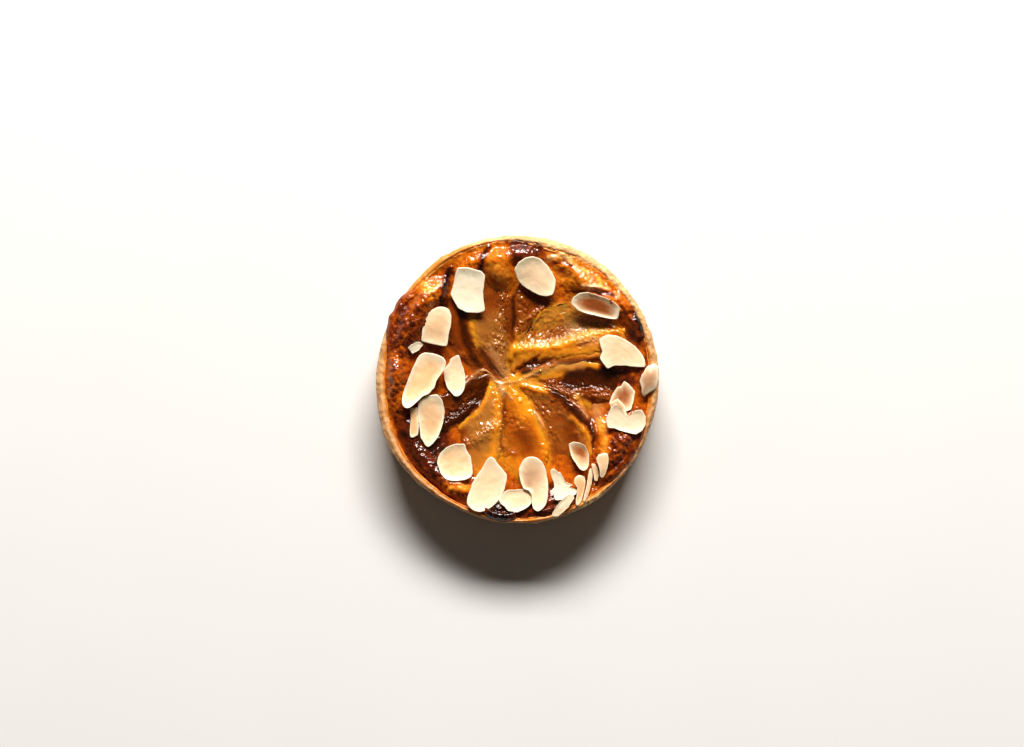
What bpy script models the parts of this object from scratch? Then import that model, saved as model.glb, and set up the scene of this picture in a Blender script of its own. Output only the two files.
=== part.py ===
"""An individual pear and almond tart: a shortcrust shell, its baked almond filling, a rosette of nine pear
slices set in the filling, and the almond flakes scattered round the edge.

Metres, +Z up. The origin is the centre of the flat base, and the tart rests on it. Angles run
anticlockwise from +X, seen from above. The tables below are in millimetres and degrees.
"""

import math
from collections import namedtuple

import bmesh
import bpy
import numpy as np
from mathutils import Vector
from mathutils.bvhtree import BVHTree

MM = 0.001
TURN = 2 * math.pi

# Free space left between two pieces that touch.
GAP = 0.35 * MM

# The shell: its radius every 30 degrees, and its rim's width and height every 15 and 30 degrees.
SHELL_RADIUS = (49.6, 49.6, 50.2, 50.5, 50.4, 49.5, 49.6, 50.8, 50.0, 50.5, 50.5, 49.8)
RIM_WIDTH = (
    3.8, 3.4, 2.8, 3.5, 3.9, 4.2, 2.6, 2.3, 2.5, 2.7, 2.0, 3.2,
    3.6, 3.8, 3.5, 2.7, 2.1, 1.9, 1.9, 2.0, 2.6, 2.0, 2.1, 3.0,
)
RIM_HEIGHT = (20.2, 20.6, 20.4, 19.8, 20.6, 19.6, 19.2, 19.8, 20.3, 19.9, 20.5, 19.7)
# The wall from the underside up, as (distance inside the shell's radius, height), then over the rim, as
# (share of the rim's width from outside, drop from its top).
WALL_PROFILE = ((2.6, 0.0), (1.1, 0.4), (0.45, 1.6), (0.15, 6.0), (0.0, 12.0))
RIM_PROFILE = ((0.0, 1.9), (0.22, 0.55), (0.5, 0.0), (0.78, 0.5), (1.0, 1.8))
SHELL_FLOOR = 3.0
FLOOR_FILLET = 2.4
SHELL_STEPS = 90

# The filling's top away from the domes: its height at shares of its radius, from the middle out.
FILLING_STEPS = 90
FILLING_RISE = ((0.0, 13.6), (0.3, 14.2), (0.6, 15.6), (0.78, 17.2), (0.9, 18.2), (0.97, 18.0), (1.0, 17.4))
FILLING_SHARES = (0.12, 0.26, 0.4, 0.52, 0.62, 0.7, 0.77, 0.83, 0.88, 0.925, 0.965, 1.0)
DOME_SHOULDER = 1.6
# The domes fade towards the filling's edge, from this share of its radius out, to this share of their rise.
DOME_FADE_START = 0.92
DOME_FADE_WIDTH = 0.10
DOME_AT_EDGE = 0.35

# Where the filling has puffed up and browned: place, then length round the rim, breadth and rise.
Dome = namedtuple("Dome", "angle radius around_rim across rise")
DOMES = (
    Dome(92, 42.3, 18, 15, 4.6),
    Dome(69, 45.0, 11, 7, 2.2),
    Dome(51, 43.0, 20, 13, 4.4),
    Dome(36, 45.2, 10, 8, 3.0),
    Dome(24, 45.6, 8, 6, 3.2),
    Dome(9, 45.0, 13, 6, 1.8),
    Dome(-33, 43.0, 21, 15, 4.6),
    Dome(-76, 45.5, 17, 7, 1.6),
    Dome(-97, 45.5, 16, 8, 2.6),
    Dome(-121, 43.8, 15, 9, 2.6),
    Dome(-140, 43.8, 13, 11, 2.8),
    Dome(-160, 44.4, 12, 7, 1.6),
    Dome(181, 43.4, 24, 10, 3.4),
    Dome(152, 43.4, 20, 15, 5.4),
    Dome(134, 43.6, 12, 11, 3.2),
    Dome(112, 44.0, 12, 9, 2.4),
)

# The pear slices, lowest first, as one lies on the next. Tip and end are in plan. Bow is how far the middle
# bends to the left of the way from tip to end. Swell is the share of the length where it is widest. The
# thick edge is on the left for side 1 and on the right for side -1, and stands higher by roll. Cup is how
# far both edges curl up.
Slice = namedtuple("Slice", "name tip end bow width swell side roll cup thickness tip_top end_top")
PEARS = (
    Slice("pear_north_east", (-2.5, 6.0), (8.5, 37.0), 0.5, 16.5, 0.60, 1, 0.8, 0.8, 3.4, 15.4, 17.6),
    Slice("pear_north_west", (-7.6, 0.8), (-25.0, 38.0), 1.4, 17.0, 0.58, 1, 2.2, 0.4, 3.4, 15.2, 18.6),
    Slice("pear_east", (-0.8, 0.0), (42.0, -7.5), 1.0, 19.5, 0.56, 1, 3.4, 0.6, 3.6, 16.0, 17.6),
    Slice("pear_west", (-9.4, 2.2), (-36.5, -22.0), 1.5, 14.0, 0.56, -1, 3.0, 0.8, 3.6, 15.8, 17.8),
    Slice("pear_south_west", (-7.0, 0.6), (-18.5, -38.5), -0.8, 19.0, 0.62, 1, 1.0, 0.2, 3.8, 16.0, 18.0),
    Slice("pear_south_east", (-0.6, -0.8), (24.0, -34.0), 3.6, 18.5, 0.60, 1, 2.8, 0.6, 3.8, 16.6, 18.2),
    Slice("pear_large_east", (-2.4, 3.2), (43.0, 13.0), 8.8, 21.5, 0.48, -1, 1.0, 1.5, 4.4, 16.8, 19.4),
    Slice("pear_north", (-4.0, -0.8), (-8.8, 45.0), 2.6, 15.5, 0.58, 1, 1.4, 0.2, 4.0, 16.0, 18.8),
    Slice("pear_south", (-3.2, -1.6), (4.0, -39.5), 0.6, 17.8, 0.60, 1, 1.2, 0.2, 4.0, 16.8, 18.4),
)
SLICE_STATIONS = 12
SLICE_SIDES = 12
TIP_POINTEDNESS = 0.72
THIN_EDGE_SHARE = 0.45

# The almond flakes, lowest first. Heading is where the narrower end points, and taper is how much narrower.
# Fullness is 2 for an oval and more for a squarer outline. A break is a straight chipped edge: its bearing
# from the heading, and its distance from the middle. Lean tips a flake about its length.
Flake = namedtuple("Flake", "x y length width heading taper fullness lean breaks")
FLAKES = (
    Flake(-17.2, 31.2, 18.0, 12.6, 90, 0.00, 2.8, 0, ((-88, 5.5), (4, 8.0))),
    Flake(-28.0, 18.6, 16.6, 11.0, 77, 0.08, 2.5, 0, ((182, 6.6),)),
    Flake(-35.6, 11.2, 6.6, 3.6, 22, 0.10, 2.2, 48, ()),
    Flake(-21.2, 1.2, 15.2, 7.8, 94, -0.10, 2.1, 0, ((52, 4.2),)),
    Flake(-36.8, -14.6, 12.2, 4.2, 88, 0.05, 2.2, 0, ()),
    Flake(-30.2, -14.1, 19.2, 9.6, 266, 0.18, 2.2, 0, ()),
    Flake(-32.2, 0.2, 22.0, 11.8, 238, 0.10, 2.4, 0, ((184, 9.0),)),
    Flake(6.1, 36.2, 17.2, 12.8, -42, 0.04, 2.1, 0, ()),
    Flake(27.3, 25.8, 19.4, 9.2, 166, 0.06, 2.2, 0, ((186, 8.2),)),
    Flake(36.6, 10.2, 18.4, 13.0, -26, 0.06, 2.2, 0, ((-66, 5.0), (204, 7.2))),
    Flake(46.0, -0.6, 12.8, 6.6, 74, 0.10, 2.2, -24, ()),
    Flake(37.4, -5.6, 12.6, 8.2, 100, 0.15, 2.2, 0, ((-60, 3.6),)),
    Flake(35.2, -10.8, 7.6, 5.4, 95, 0.30, 2.0, 0, ()),
    Flake(38.3, -14.9, 15.4, 9.2, -6, 0.00, 2.4, 0, ((84, 3.4),)),
    Flake(-21.8, -29.1, 13.4, 12.6, 50, 0.05, 2.1, 0, ((-62, 5.2),)),
    Flake(-11.0, -36.8, 20.4, 12.0, 74, 0.22, 2.2, 0, ((-52, 5.6),)),
    Flake(0.4, -41.6, 12.4, 8.8, 8, 0.05, 2.2, 0, ()),
    Flake(6.2, -36.8, 19.8, 10.0, -82, 0.14, 2.2, 0, ()),
    Flake(15.8, -37.2, 12.6, 8.4, -52, 0.00, 2.5, 0, ((118, 3.0), (-70, 3.4))),
    Flake(15.6, -44.2, 9.0, 4.6, 42, 0.05, 2.2, 34, ()),
    Flake(22.0, -38.0, 10.2, 5.4, 82, 0.00, 2.4, 38, ()),
    Flake(25.0, -36.4, 15.0, 4.4, 77, 0.05, 2.2, 56, ()),
    Flake(27.9, -32.8, 7.4, 3.4, -72, 0.10, 2.2, 48, ()),
    Flake(30.2, -30.0, 9.0, 5.2, 76, 0.10, 2.2, 30, ()),
    Flake(21.8, -26.6, 11.6, 7.0, -58, 0.08, 2.1, 0, ()),
)
FLAKE_THICKNESS = 1.1
FLAKE_FLAT_SHARE = 0.55
LARGE_FLAKE = 9.5
LARGE_FLAKE_SIDES = 16
SMALL_FLAKE_SIDES = 12
# How a flake is laid: the most its half length may curl up or down, the spacing of the points it is tried
# at, how often it is fitted again with more weight on what it touches, and the room left under it.
FLAKE_MOST_CURL = 1.0
LAYING_STEP = 0.7
LAYING_ROUNDS = 12
FLAKE_CLEARANCE = 0.42
SKY = 80.0

COLOURS = {
    "shortcrust": ((0.66, 0.40, 0.16), 0.75),
    "baked_filling": ((0.42, 0.14, 0.03), 0.30),
    "glazed_pear": ((0.52, 0.25, 0.05), 0.18),
    "almond": ((0.84, 0.66, 0.42), 0.45),
}


def clear_scene():
    for thing in list(bpy.data.objects):
        bpy.data.objects.remove(thing, do_unlink=True)


def material(name):
    """The Principled material of that name, made once."""
    found = bpy.data.materials.get(name)
    if found:
        return found
    colour, roughness = COLOURS[name]
    made = bpy.data.materials.new(name)
    made.use_nodes = True
    shader = made.node_tree.nodes["Principled BSDF"]
    shader.inputs["Base Color"].default_value = (*colour, 1)
    shader.inputs["Roughness"].default_value = roughness
    made.diffuse_color = (*colour, 1)
    return made


def around(values, angle):
    """Reads equally spaced values round the tart at an angle, along a smooth closed curve through them."""
    place = angle / TURN % 1.0 * len(values)
    step = math.floor(place)
    t = place - step
    before, low, high, after = (values[(step + i) % len(values)] for i in (-1, 0, 1, 2))
    bend = 2 * before - 5 * low + 4 * high - after + t * (3 * (low - high) + after - before)
    return low + 0.5 * t * (high - before + t * bend)


def skin(name, rings, poles, finish):
    """A closed solid: rings of equally many points, bridged in order, with a fan to a pole at each end.
    Points are in millimetres."""
    made = bmesh.new()
    loops = [[made.verts.new(Vector(point) * MM) for point in ring] for ring in rings]
    for lower, upper in zip(loops, loops[1:]):
        for i in range(len(lower)):
            made.faces.new((lower[i - 1], lower[i], upper[i], upper[i - 1]))
    for loop, pole in zip((loops[0], loops[-1]), poles):
        centre = made.verts.new(Vector(pole) * MM)
        for i in range(len(loop)):
            made.faces.new((loop[i - 1], loop[i], centre))
    bmesh.ops.recalc_face_normals(made, faces=made.faces)
    bmesh.ops.triangulate(made, faces=made.faces)
    mesh = bpy.data.meshes.new(name)
    made.to_mesh(mesh)
    made.free()
    mesh.materials.append(material(finish))
    mesh.shade_smooth()
    mesh.set_sharp_from_angle(angle=math.radians(40))
    thing = bpy.data.objects.new(name, mesh)
    bpy.context.scene.collection.objects.link(thing)
    return thing


def inner_radius(angle):
    return around(SHELL_RADIUS, angle) - around(RIM_WIDTH, angle)


def shell_profile(angle):
    """(radius, height) pairs from the underside out, up the wall, over the rim and down to the floor."""
    outer = around(SHELL_RADIUS, angle)
    inner = inner_radius(angle)
    top = around(RIM_HEIGHT, angle)
    wall = [(outer - inset, height) for inset, height in WALL_PROFILE]
    rim = [(outer - share * (outer - inner), top - drop) for share, drop in RIM_PROFILE]
    return wall + rim + [(inner, SHELL_FLOOR + FLOOR_FILLET), (inner - FLOOR_FILLET, SHELL_FLOOR)]


def turned(profiles):
    """Rings of points from one (radius, height) profile at each equal step of angle."""
    angles = [TURN * i / len(profiles) for i in range(len(profiles))]
    return [
        [(r * math.cos(a), r * math.sin(a), z) for a, (r, z) in zip(angles, level)]
        for level in zip(*profiles)
    ]


def build_shell():
    profiles = [shell_profile(TURN * i / SHELL_STEPS) for i in range(SHELL_STEPS)]
    return skin("pastry_shell", turned(profiles), ((0, 0, 0), (0, 0, SHELL_FLOOR)), "shortcrust")


def dome_rise(dome, x, y):
    """The dome's height at a point: a soft-shouldered bump with its length round the rim."""
    turn = math.radians(dome.angle)
    outward = x * math.cos(turn) + y * math.sin(turn) - dome.radius
    sideways = y * math.cos(turn) - x * math.sin(turn)
    spread = (2 * outward / dome.across) ** 2 + (2 * sideways / dome.around_rim) ** 2
    return dome.rise * math.exp(-(spread ** DOME_SHOULDER))


def filling_top(x, y, share):
    """The height of the filling's top at a point, which lies at a share of the filling's radius."""
    shares, heights = zip(*FILLING_RISE)
    fade = min(1.0, max(0.0, (share - DOME_FADE_START) / DOME_FADE_WIDTH))
    domes = sum(dome_rise(dome, x, y) for dome in DOMES)
    return float(np.interp(share, shares, heights)) + domes * (1 - (1 - DOME_AT_EDGE) * fade)


def filling_profile(angle):
    """(radius, height) pairs from the middle of the top out and down the side to the underside."""
    edge = inner_radius(angle) - GAP / MM
    top = [
        (share * edge, filling_top(share * edge * math.cos(angle), share * edge * math.sin(angle), share))
        for share in FILLING_SHARES
    ]
    side = [(edge, SHELL_FLOOR + FLOOR_FILLET), (edge - FLOOR_FILLET, SHELL_FLOOR + GAP / MM)]
    return top + side


def build_filling():
    profiles = [filling_profile(TURN * i / FILLING_STEPS) for i in range(FILLING_STEPS)]
    poles = ((0, 0, FILLING_RISE[0][1]), (0, 0, SHELL_FLOOR + GAP / MM))
    return skin("almond_filling", turned(profiles), poles, "baked_filling")


def slice_breadth(slice_, share):
    """Half the slice's width at a share of its length: a drop outline, blunt at the outer end."""
    place = share ** (math.log(0.5) / math.log(slice_.swell))
    return 0.5 * slice_.width * (1 - (2 * place - 1) ** 2) ** TIP_POINTEDNESS


def slice_section(slice_, share):
    """The closed outline across the slice, square to the way from tip to end: a wedge with a round thick
    edge and a round thin one."""
    tip, end = Vector(slice_.tip), Vector(slice_.end)
    left = Vector((tip.y - end.y, end.x - tip.x)).normalized()
    place = tip.lerp(end, share) + left * slice_.bow * 4 * share * (1 - share)
    thick_way = left * slice_.side
    breadth = slice_breadth(slice_, share)
    fullness = 2 * breadth / slice_.width
    middle = slice_.tip_top + (slice_.end_top - slice_.tip_top) * share - 0.5 * slice_.thickness
    ring = []
    for i in range(SLICE_SIDES):
        across, up = math.cos(TURN * i / SLICE_SIDES), math.sin(TURN * i / SLICE_SIDES)
        thickness = slice_.thickness * (THIN_EDGE_SHARE + (1 - THIN_EDGE_SHARE) * (across + 1) / 2)
        curl = (0.5 * slice_.roll * across + slice_.cup * across ** 2) * fullness
        at = place + thick_way * across * breadth
        ring.append((at.x, at.y, middle + curl + 0.5 * thickness * fullness ** 0.5 * up))
    return ring


def build_slice(slice_):
    rings = [slice_section(slice_, i / SLICE_STATIONS) for i in range(1, SLICE_STATIONS)]
    middle = 0.5 * slice_.thickness
    poles = ((*slice_.tip, slice_.tip_top - middle), (*slice_.end, slice_.end_top - middle))
    return skin(slice_.name, rings, poles, "glazed_pear")


def swollen_copy(thing):
    """A hidden copy of a piece, larger by the gap all over, to cut its neighbours with."""
    made = bmesh.new()
    made.from_mesh(thing.data)
    made.normal_update()
    moves = [vert.normal * vert.calc_shell_factor() * GAP for vert in made.verts]
    for vert, move in zip(made.verts, moves):
        vert.co += move
    mesh = bpy.data.meshes.new(thing.name + "_room")
    made.to_mesh(mesh)
    made.free()
    cutter = bpy.data.objects.new(mesh.name, mesh)
    cutter.hide_render = True
    cutter.display_type = "WIRE"
    return cutter


def drop_scraps(mesh):
    """Keeps only the largest body of a mesh that a cut has left in pieces."""
    made = bmesh.new()
    made.from_mesh(mesh)
    left = set(made.verts)
    bodies = []
    while left:
        found = {left.pop()}
        edge = set(found)
        while edge:
            edge = {e.other_vert(v) for v in edge for e in v.link_edges} - found
            found |= edge
        left -= found
        bodies.append(found)
    largest = max(bodies, key=len)
    bmesh.ops.delete(made, geom=[vert for vert in made.verts if vert not in largest], context="VERTS")
    made.to_mesh(mesh)
    made.free()


def cut_room(thing, neighbours):
    """Cuts a piece clear of its neighbours, so that they share no space."""
    room = bpy.data.collections.new(thing.name + "_neighbours")
    bpy.context.scene.collection.children.link(room)
    for neighbour in neighbours:
        room.objects.link(swollen_copy(neighbour))
    cut = thing.modifiers.new("room", "BOOLEAN")
    cut.operation = "DIFFERENCE"
    cut.operand_type = "COLLECTION"
    cut.collection = room
    cut.solver = "EXACT"
    graph = bpy.context.evaluated_depsgraph_get()
    mesh = bpy.data.meshes.new_from_object(thing.evaluated_get(graph))
    mesh.name = thing.name
    thing.modifiers.remove(cut)
    thing.data = mesh
    for cutter in list(room.objects):
        bpy.data.objects.remove(cutter, do_unlink=True)
    bpy.data.collections.remove(room)
    drop_scraps(mesh)


def flake_outline(flake, sides):
    """The flake's outline in its own frame, its length along x: a tapered oval, its breaks cut straight."""
    points = []
    for i in range(sides):
        along, across = math.cos(TURN * i / sides), math.sin(TURN * i / sides)
        square = (abs(along) ** flake.fullness + abs(across) ** flake.fullness) ** (-1 / flake.fullness)
        size = Vector((flake.length, flake.width * (1 - flake.taper * along))) * 0.5 * square
        point = Vector((along, across)) * size
        for bearing, distance in flake.breaks:
            outward = Vector((math.cos(math.radians(bearing)), math.sin(math.radians(bearing))))
            point -= outward * max(0.0, point.dot(outward) - distance)
        points.append(point)
    return points


def flake_place(flake, along, across, up):
    """A point of the flake's own frame, tipped about its length and turned to its heading."""
    lean, turn = math.radians(flake.lean), math.radians(flake.heading)
    side = across * math.cos(lean) - up * math.sin(lean)
    return Vector((
        flake.x + along * math.cos(turn) - side * math.sin(turn),
        flake.y + along * math.sin(turn) + side * math.cos(turn),
        across * math.sin(lean) + up * math.cos(lean),
    ))


def ground_height(ground, x, y):
    """The height in millimetres of the highest of the pieces below a point."""
    above = Vector((x, y, SKY)) * MM
    hits = [tree.ray_cast(above, Vector((0, 0, -1)))[0] for tree in ground]
    return max((hit.z / MM for hit in hits if hit), default=0.0)


def inside(outline, point):
    """Whether a point lies in a convex outline that runs anticlockwise."""
    corners = zip(outline, outline[1:] + outline[:1])
    return all((b - a).cross(point - a) >= 0 for a, b in corners)


def bed_of(flake, outline, ground):
    """How the flake lies: the coefficients of its underside, which follows the ground with little curl
    and is raised until it clears every point of it."""
    steps = int(flake.length / LAYING_STEP) + 2
    spread = [LAYING_STEP * (i - steps / 2) for i in range(steps + 1)]
    own = outline + [p for p in (Vector((u, v)) for u in spread for v in spread) if inside(outline, p)]
    places = [flake_place(flake, p.x, p.y, 0) for p in own]
    heights = np.array([ground_height(ground, p.x, p.y) - p.z for p in places])
    u, v = np.array([tuple(p) for p in own]).T
    plane = np.stack((np.ones_like(u), u, v), axis=1)
    curved = np.column_stack((plane, u * u, v * v))
    weights = np.ones_like(u)
    for _ in range(LAYING_ROUNDS):
        scale = np.sqrt(weights)[:, None]
        fit = np.linalg.lstsq(curved * scale, heights * scale[:, 0], rcond=None)[0]
        most = FLAKE_MOST_CURL / (0.5 * flake.length) ** 2
        fit[3:] = np.clip(fit[3:], -most, most)
        flat = heights - curved[:, 3:] @ fit[3:]
        fit[:3] = np.linalg.lstsq(plane * scale, flat * scale[:, 0], rcond=None)[0]
        proud = heights - curved @ fit
        weights *= np.exp(np.clip(proud, -1.5, 1.5) * 0.5)
    if flake.lean:
        fit[3:] = 0
        proud = heights - curved @ fit
    fit[0] += proud.max() + FLAKE_CLEARANCE
    return fit


def build_flake(number, flake, ground):
    """A thin curved slice of almond, laid on what is below it."""
    sides = LARGE_FLAKE_SIDES if flake.length > LARGE_FLAKE else SMALL_FLAKE_SIDES
    outline = flake_outline(flake, sides)
    bed = bed_of(flake, outline, ground)

    def place(point, up):
        under = bed @ np.array((1, point.x, point.y, point.x ** 2, point.y ** 2))
        return flake_place(flake, point.x, point.y, up) + Vector((0, 0, under))

    layers = ((FLAKE_FLAT_SHARE, 0), (1, 0), (1, FLAKE_THICKNESS), (FLAKE_FLAT_SHARE, FLAKE_THICKNESS))
    rings = [[place(point * size, up) for point in outline] for size, up in layers]
    poles = (place(Vector((0, 0)), 0), place(Vector((0, 0)), FLAKE_THICKNESS))
    return skin(f"almond_flake_{number:02d}", rings, poles, "almond")


def tree_of(thing):
    made = bmesh.new()
    made.from_mesh(thing.data)
    tree = BVHTree.FromBMesh(made)
    made.free()
    return tree


def main():
    clear_scene()
    shell = build_shell()
    filling = build_filling()
    pears = [build_slice(slice_) for slice_ in PEARS]
    cut_room(filling, pears)
    for i, pear in enumerate(pears[:-1]):
        cut_room(pear, pears[i + 1:])
    ground = [tree_of(thing) for thing in (shell, filling, *pears)]
    for number, flake in enumerate(FLAKES, start=1):
        ground.append(tree_of(build_flake(number, flake, ground)))


main()
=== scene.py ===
"""Finish of an individual pear and almond tart, made over its fixed model.

Laid out as an add-on: one operator makes each piece or group of like pieces, and main() runs them all. The
tables are in millimetres and degrees, seen from above, with angles anticlockwise from +X, and z is up.
"""

import itertools
import math
from collections import namedtuple

import bpy
import numpy as np
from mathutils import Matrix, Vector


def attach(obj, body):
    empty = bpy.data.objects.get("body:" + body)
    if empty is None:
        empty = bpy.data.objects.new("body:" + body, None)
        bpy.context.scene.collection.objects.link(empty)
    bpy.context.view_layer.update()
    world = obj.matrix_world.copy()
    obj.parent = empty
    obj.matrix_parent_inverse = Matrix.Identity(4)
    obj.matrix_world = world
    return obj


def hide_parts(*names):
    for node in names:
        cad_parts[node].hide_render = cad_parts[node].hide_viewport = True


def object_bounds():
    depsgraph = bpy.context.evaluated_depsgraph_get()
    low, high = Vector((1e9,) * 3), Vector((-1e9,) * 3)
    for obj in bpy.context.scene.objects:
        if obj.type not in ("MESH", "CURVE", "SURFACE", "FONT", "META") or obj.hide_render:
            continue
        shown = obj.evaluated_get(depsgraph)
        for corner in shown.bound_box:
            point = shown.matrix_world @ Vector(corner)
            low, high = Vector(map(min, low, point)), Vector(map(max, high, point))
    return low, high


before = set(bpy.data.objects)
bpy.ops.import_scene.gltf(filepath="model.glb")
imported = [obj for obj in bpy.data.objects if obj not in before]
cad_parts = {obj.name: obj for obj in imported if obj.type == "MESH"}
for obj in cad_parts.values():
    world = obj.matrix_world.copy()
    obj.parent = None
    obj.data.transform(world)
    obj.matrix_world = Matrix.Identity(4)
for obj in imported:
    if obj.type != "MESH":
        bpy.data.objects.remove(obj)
MODEL_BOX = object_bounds()

bl_info = {
    "name": "Pear and almond tart",
    "version": (1, 0, 0),
    "blender": (4, 5, 0),
    "location": "3D View > Sidebar > Tart",
    "description": "Pastry, baked almond cream, glazed pears and flaked almonds for a small tart",
    "category": "Object",
}

MM = 0.001
TURN = 2 * math.pi
BODY = "root"
SHELL, FILLING = "pastry_shell", "almond_filling"

# The baked filling puffs up into domes against the shell, each with its place, its length round the rim,
# its breadth and its rise. Bake runs from 0, golden, past 0.35, orange, and 0.65, red-brown, to 1, black.
# Rough is how blistered a dome is, and spill how far it runs over the rim.
Dome = namedtuple("Dome", "angle radius around_rim across rise bake rough spill")
DOMES = (
    Dome(87, 44.8, 12, 9, 3.4, 0.78, 0.6, 0.0),
    Dome(99, 40.2, 9, 15, 4.4, 0.10, 0.35, 0.0),
    Dome(69, 45.0, 11, 7, 2.2, 0.14, 0.5, 0.0),
    Dome(51, 43.0, 20, 13, 4.4, 0.13, 0.8, 0.0),
    Dome(36, 45.2, 10, 8, 3.0, 0.40, 0.6, 0.4),
    Dome(24, 45.6, 8, 6, 3.2, 0.74, 0.7, 0.9),
    Dome(9, 45.0, 13, 6, 1.8, 0.55, 0.4, 0.0),
    Dome(-33, 43.0, 21, 15, 4.6, 0.57, 1.0, 1.2),
    Dome(-76, 45.5, 17, 7, 1.6, 0.80, 0.5, 0.4),
    Dome(-97.5, 46.8, 10, 6, 2.6, 0.86, 1.0, 1.4),
    Dome(-121, 43.8, 15, 9, 2.6, 0.58, 0.8, 0.0),
    Dome(-137, 44.2, 13, 11, 2.1, 0.80, 0.8, 0.0),
    Dome(-152, 41.5, 13, 11, 1.4, 0.88, 0.2, 0.0),
    Dome(181, 43.4, 24, 10, 3.4, 0.38, 1.2, 0.3),
    Dome(152, 43.4, 22, 15, 5.4, 0.62, 1.1, 2.6),
    Dome(178, 43.6, 10, 10, 2.2, 0.50, 0.4, 0.0),
    Dome(134, 43.6, 12, 11, 3.2, 0.20, 0.9, 0.0),
    Dome(112, 44.0, 12, 9, 2.4, 0.24, 0.6, 0.0),
)
DOME_SHOULDER = 1.6
# The share of its rise that a dome keeps where the filling meets the shell.
DOME_AT_SHELL = 0.35
# How rough and how baked the filling is away from the domes, and how much that weighs against them.
PLAIN_ROUGH, PLAIN_BAKE, PLAIN_WEIGHT = 0.25, 0.42, 0.18
# The height of the filling's top without the domes, as (share of the radius, height).
FILLING_RISE = ((0.0, 13.6), (0.3, 14.2), (0.6, 15.6), (0.78, 17.2), (0.9, 18.2), (0.97, 18.0), (1.0, 17.4))

# The pear slices, as in the model: tip and end in plan, the bow to the left of the way from tip to end, the
# width, the share of the length where it is widest, the side of its thick edge (1 is left), how much higher
# that edge stands, how far both edges curl up, the thickness, and the heights at tip and end. Then the
# colour: syrup runs from 0, plain stewed flesh, to 1, orange with syrup, and dark is how browned it is, with
# painted shade in it as well: the north-west and north-east slices are darkened for the shade they lie in,
# and the west and east slices for their slopes turned from the light.
Slice = namedtuple("Slice", "name tip end bow width swell side roll cup thickness tip_top end_top syrup dark")
PEARS = (
    Slice("pear_north_east", (-2.5, 6), (8.5, 37), 0.5, 16.5, 0.6, 1, 0.8, 0.8, 3.4, 15.4, 17.6, 0.15, 0.6),
    Slice("pear_north_west", (-7.6, 0.8), (-25, 38), 1.4, 17, 0.58, 1, 2.2, 0.4, 3.4, 15.2, 18.6, 0.1, 0.62),
    Slice("pear_east", (-0.8, 0), (42, -7.5), 1, 19.5, 0.56, 1, 3.4, 0.6, 3.6, 16, 17.6, 0.35, 0.55),
    Slice("pear_west", (-9.4, 2.2), (-36.5, -22), 1.5, 14, 0.56, -1, 3, 0.8, 3.6, 15.8, 17.8, 0.2, 0.92),
    Slice("pear_south_west", (-7, 0.6), (-18.5, -38.5), -0.8, 19, 0.62, 1, 1, 0.2, 3.8, 16, 18, 0.25, 0.05),
    Slice("pear_south_east", (-0.6, -0.8), (24, -34), 3.6, 18.5, 0.6, 1, 2.8, 0.6, 3.8, 16.6, 18.2,
          0.45, 0.35),
    Slice("pear_large_east", (-2.4, 3.2), (43, 13), 8.8, 21.5, 0.48, -1, 1, 1.5, 4.4, 16.8, 19.4, 0.55, 0.05),
    Slice("pear_north", (-4, -0.8), (-8.8, 45), 2.6, 15.5, 0.58, 1, 1.4, 0.2, 4, 16, 18.8, 0.1, 0.22),
    Slice("pear_south", (-3.2, -1.6), (4, -39.5), 0.6, 17.8, 0.6, 1, 1.2, 0.2, 4, 16.8, 18.4, 0.9, 0.15),
)
TIP_POINTEDNESS = 0.72
# How thick the thin edge is, as a share of the thick one.
THIN_EDGE_SHARE = 0.45
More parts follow.
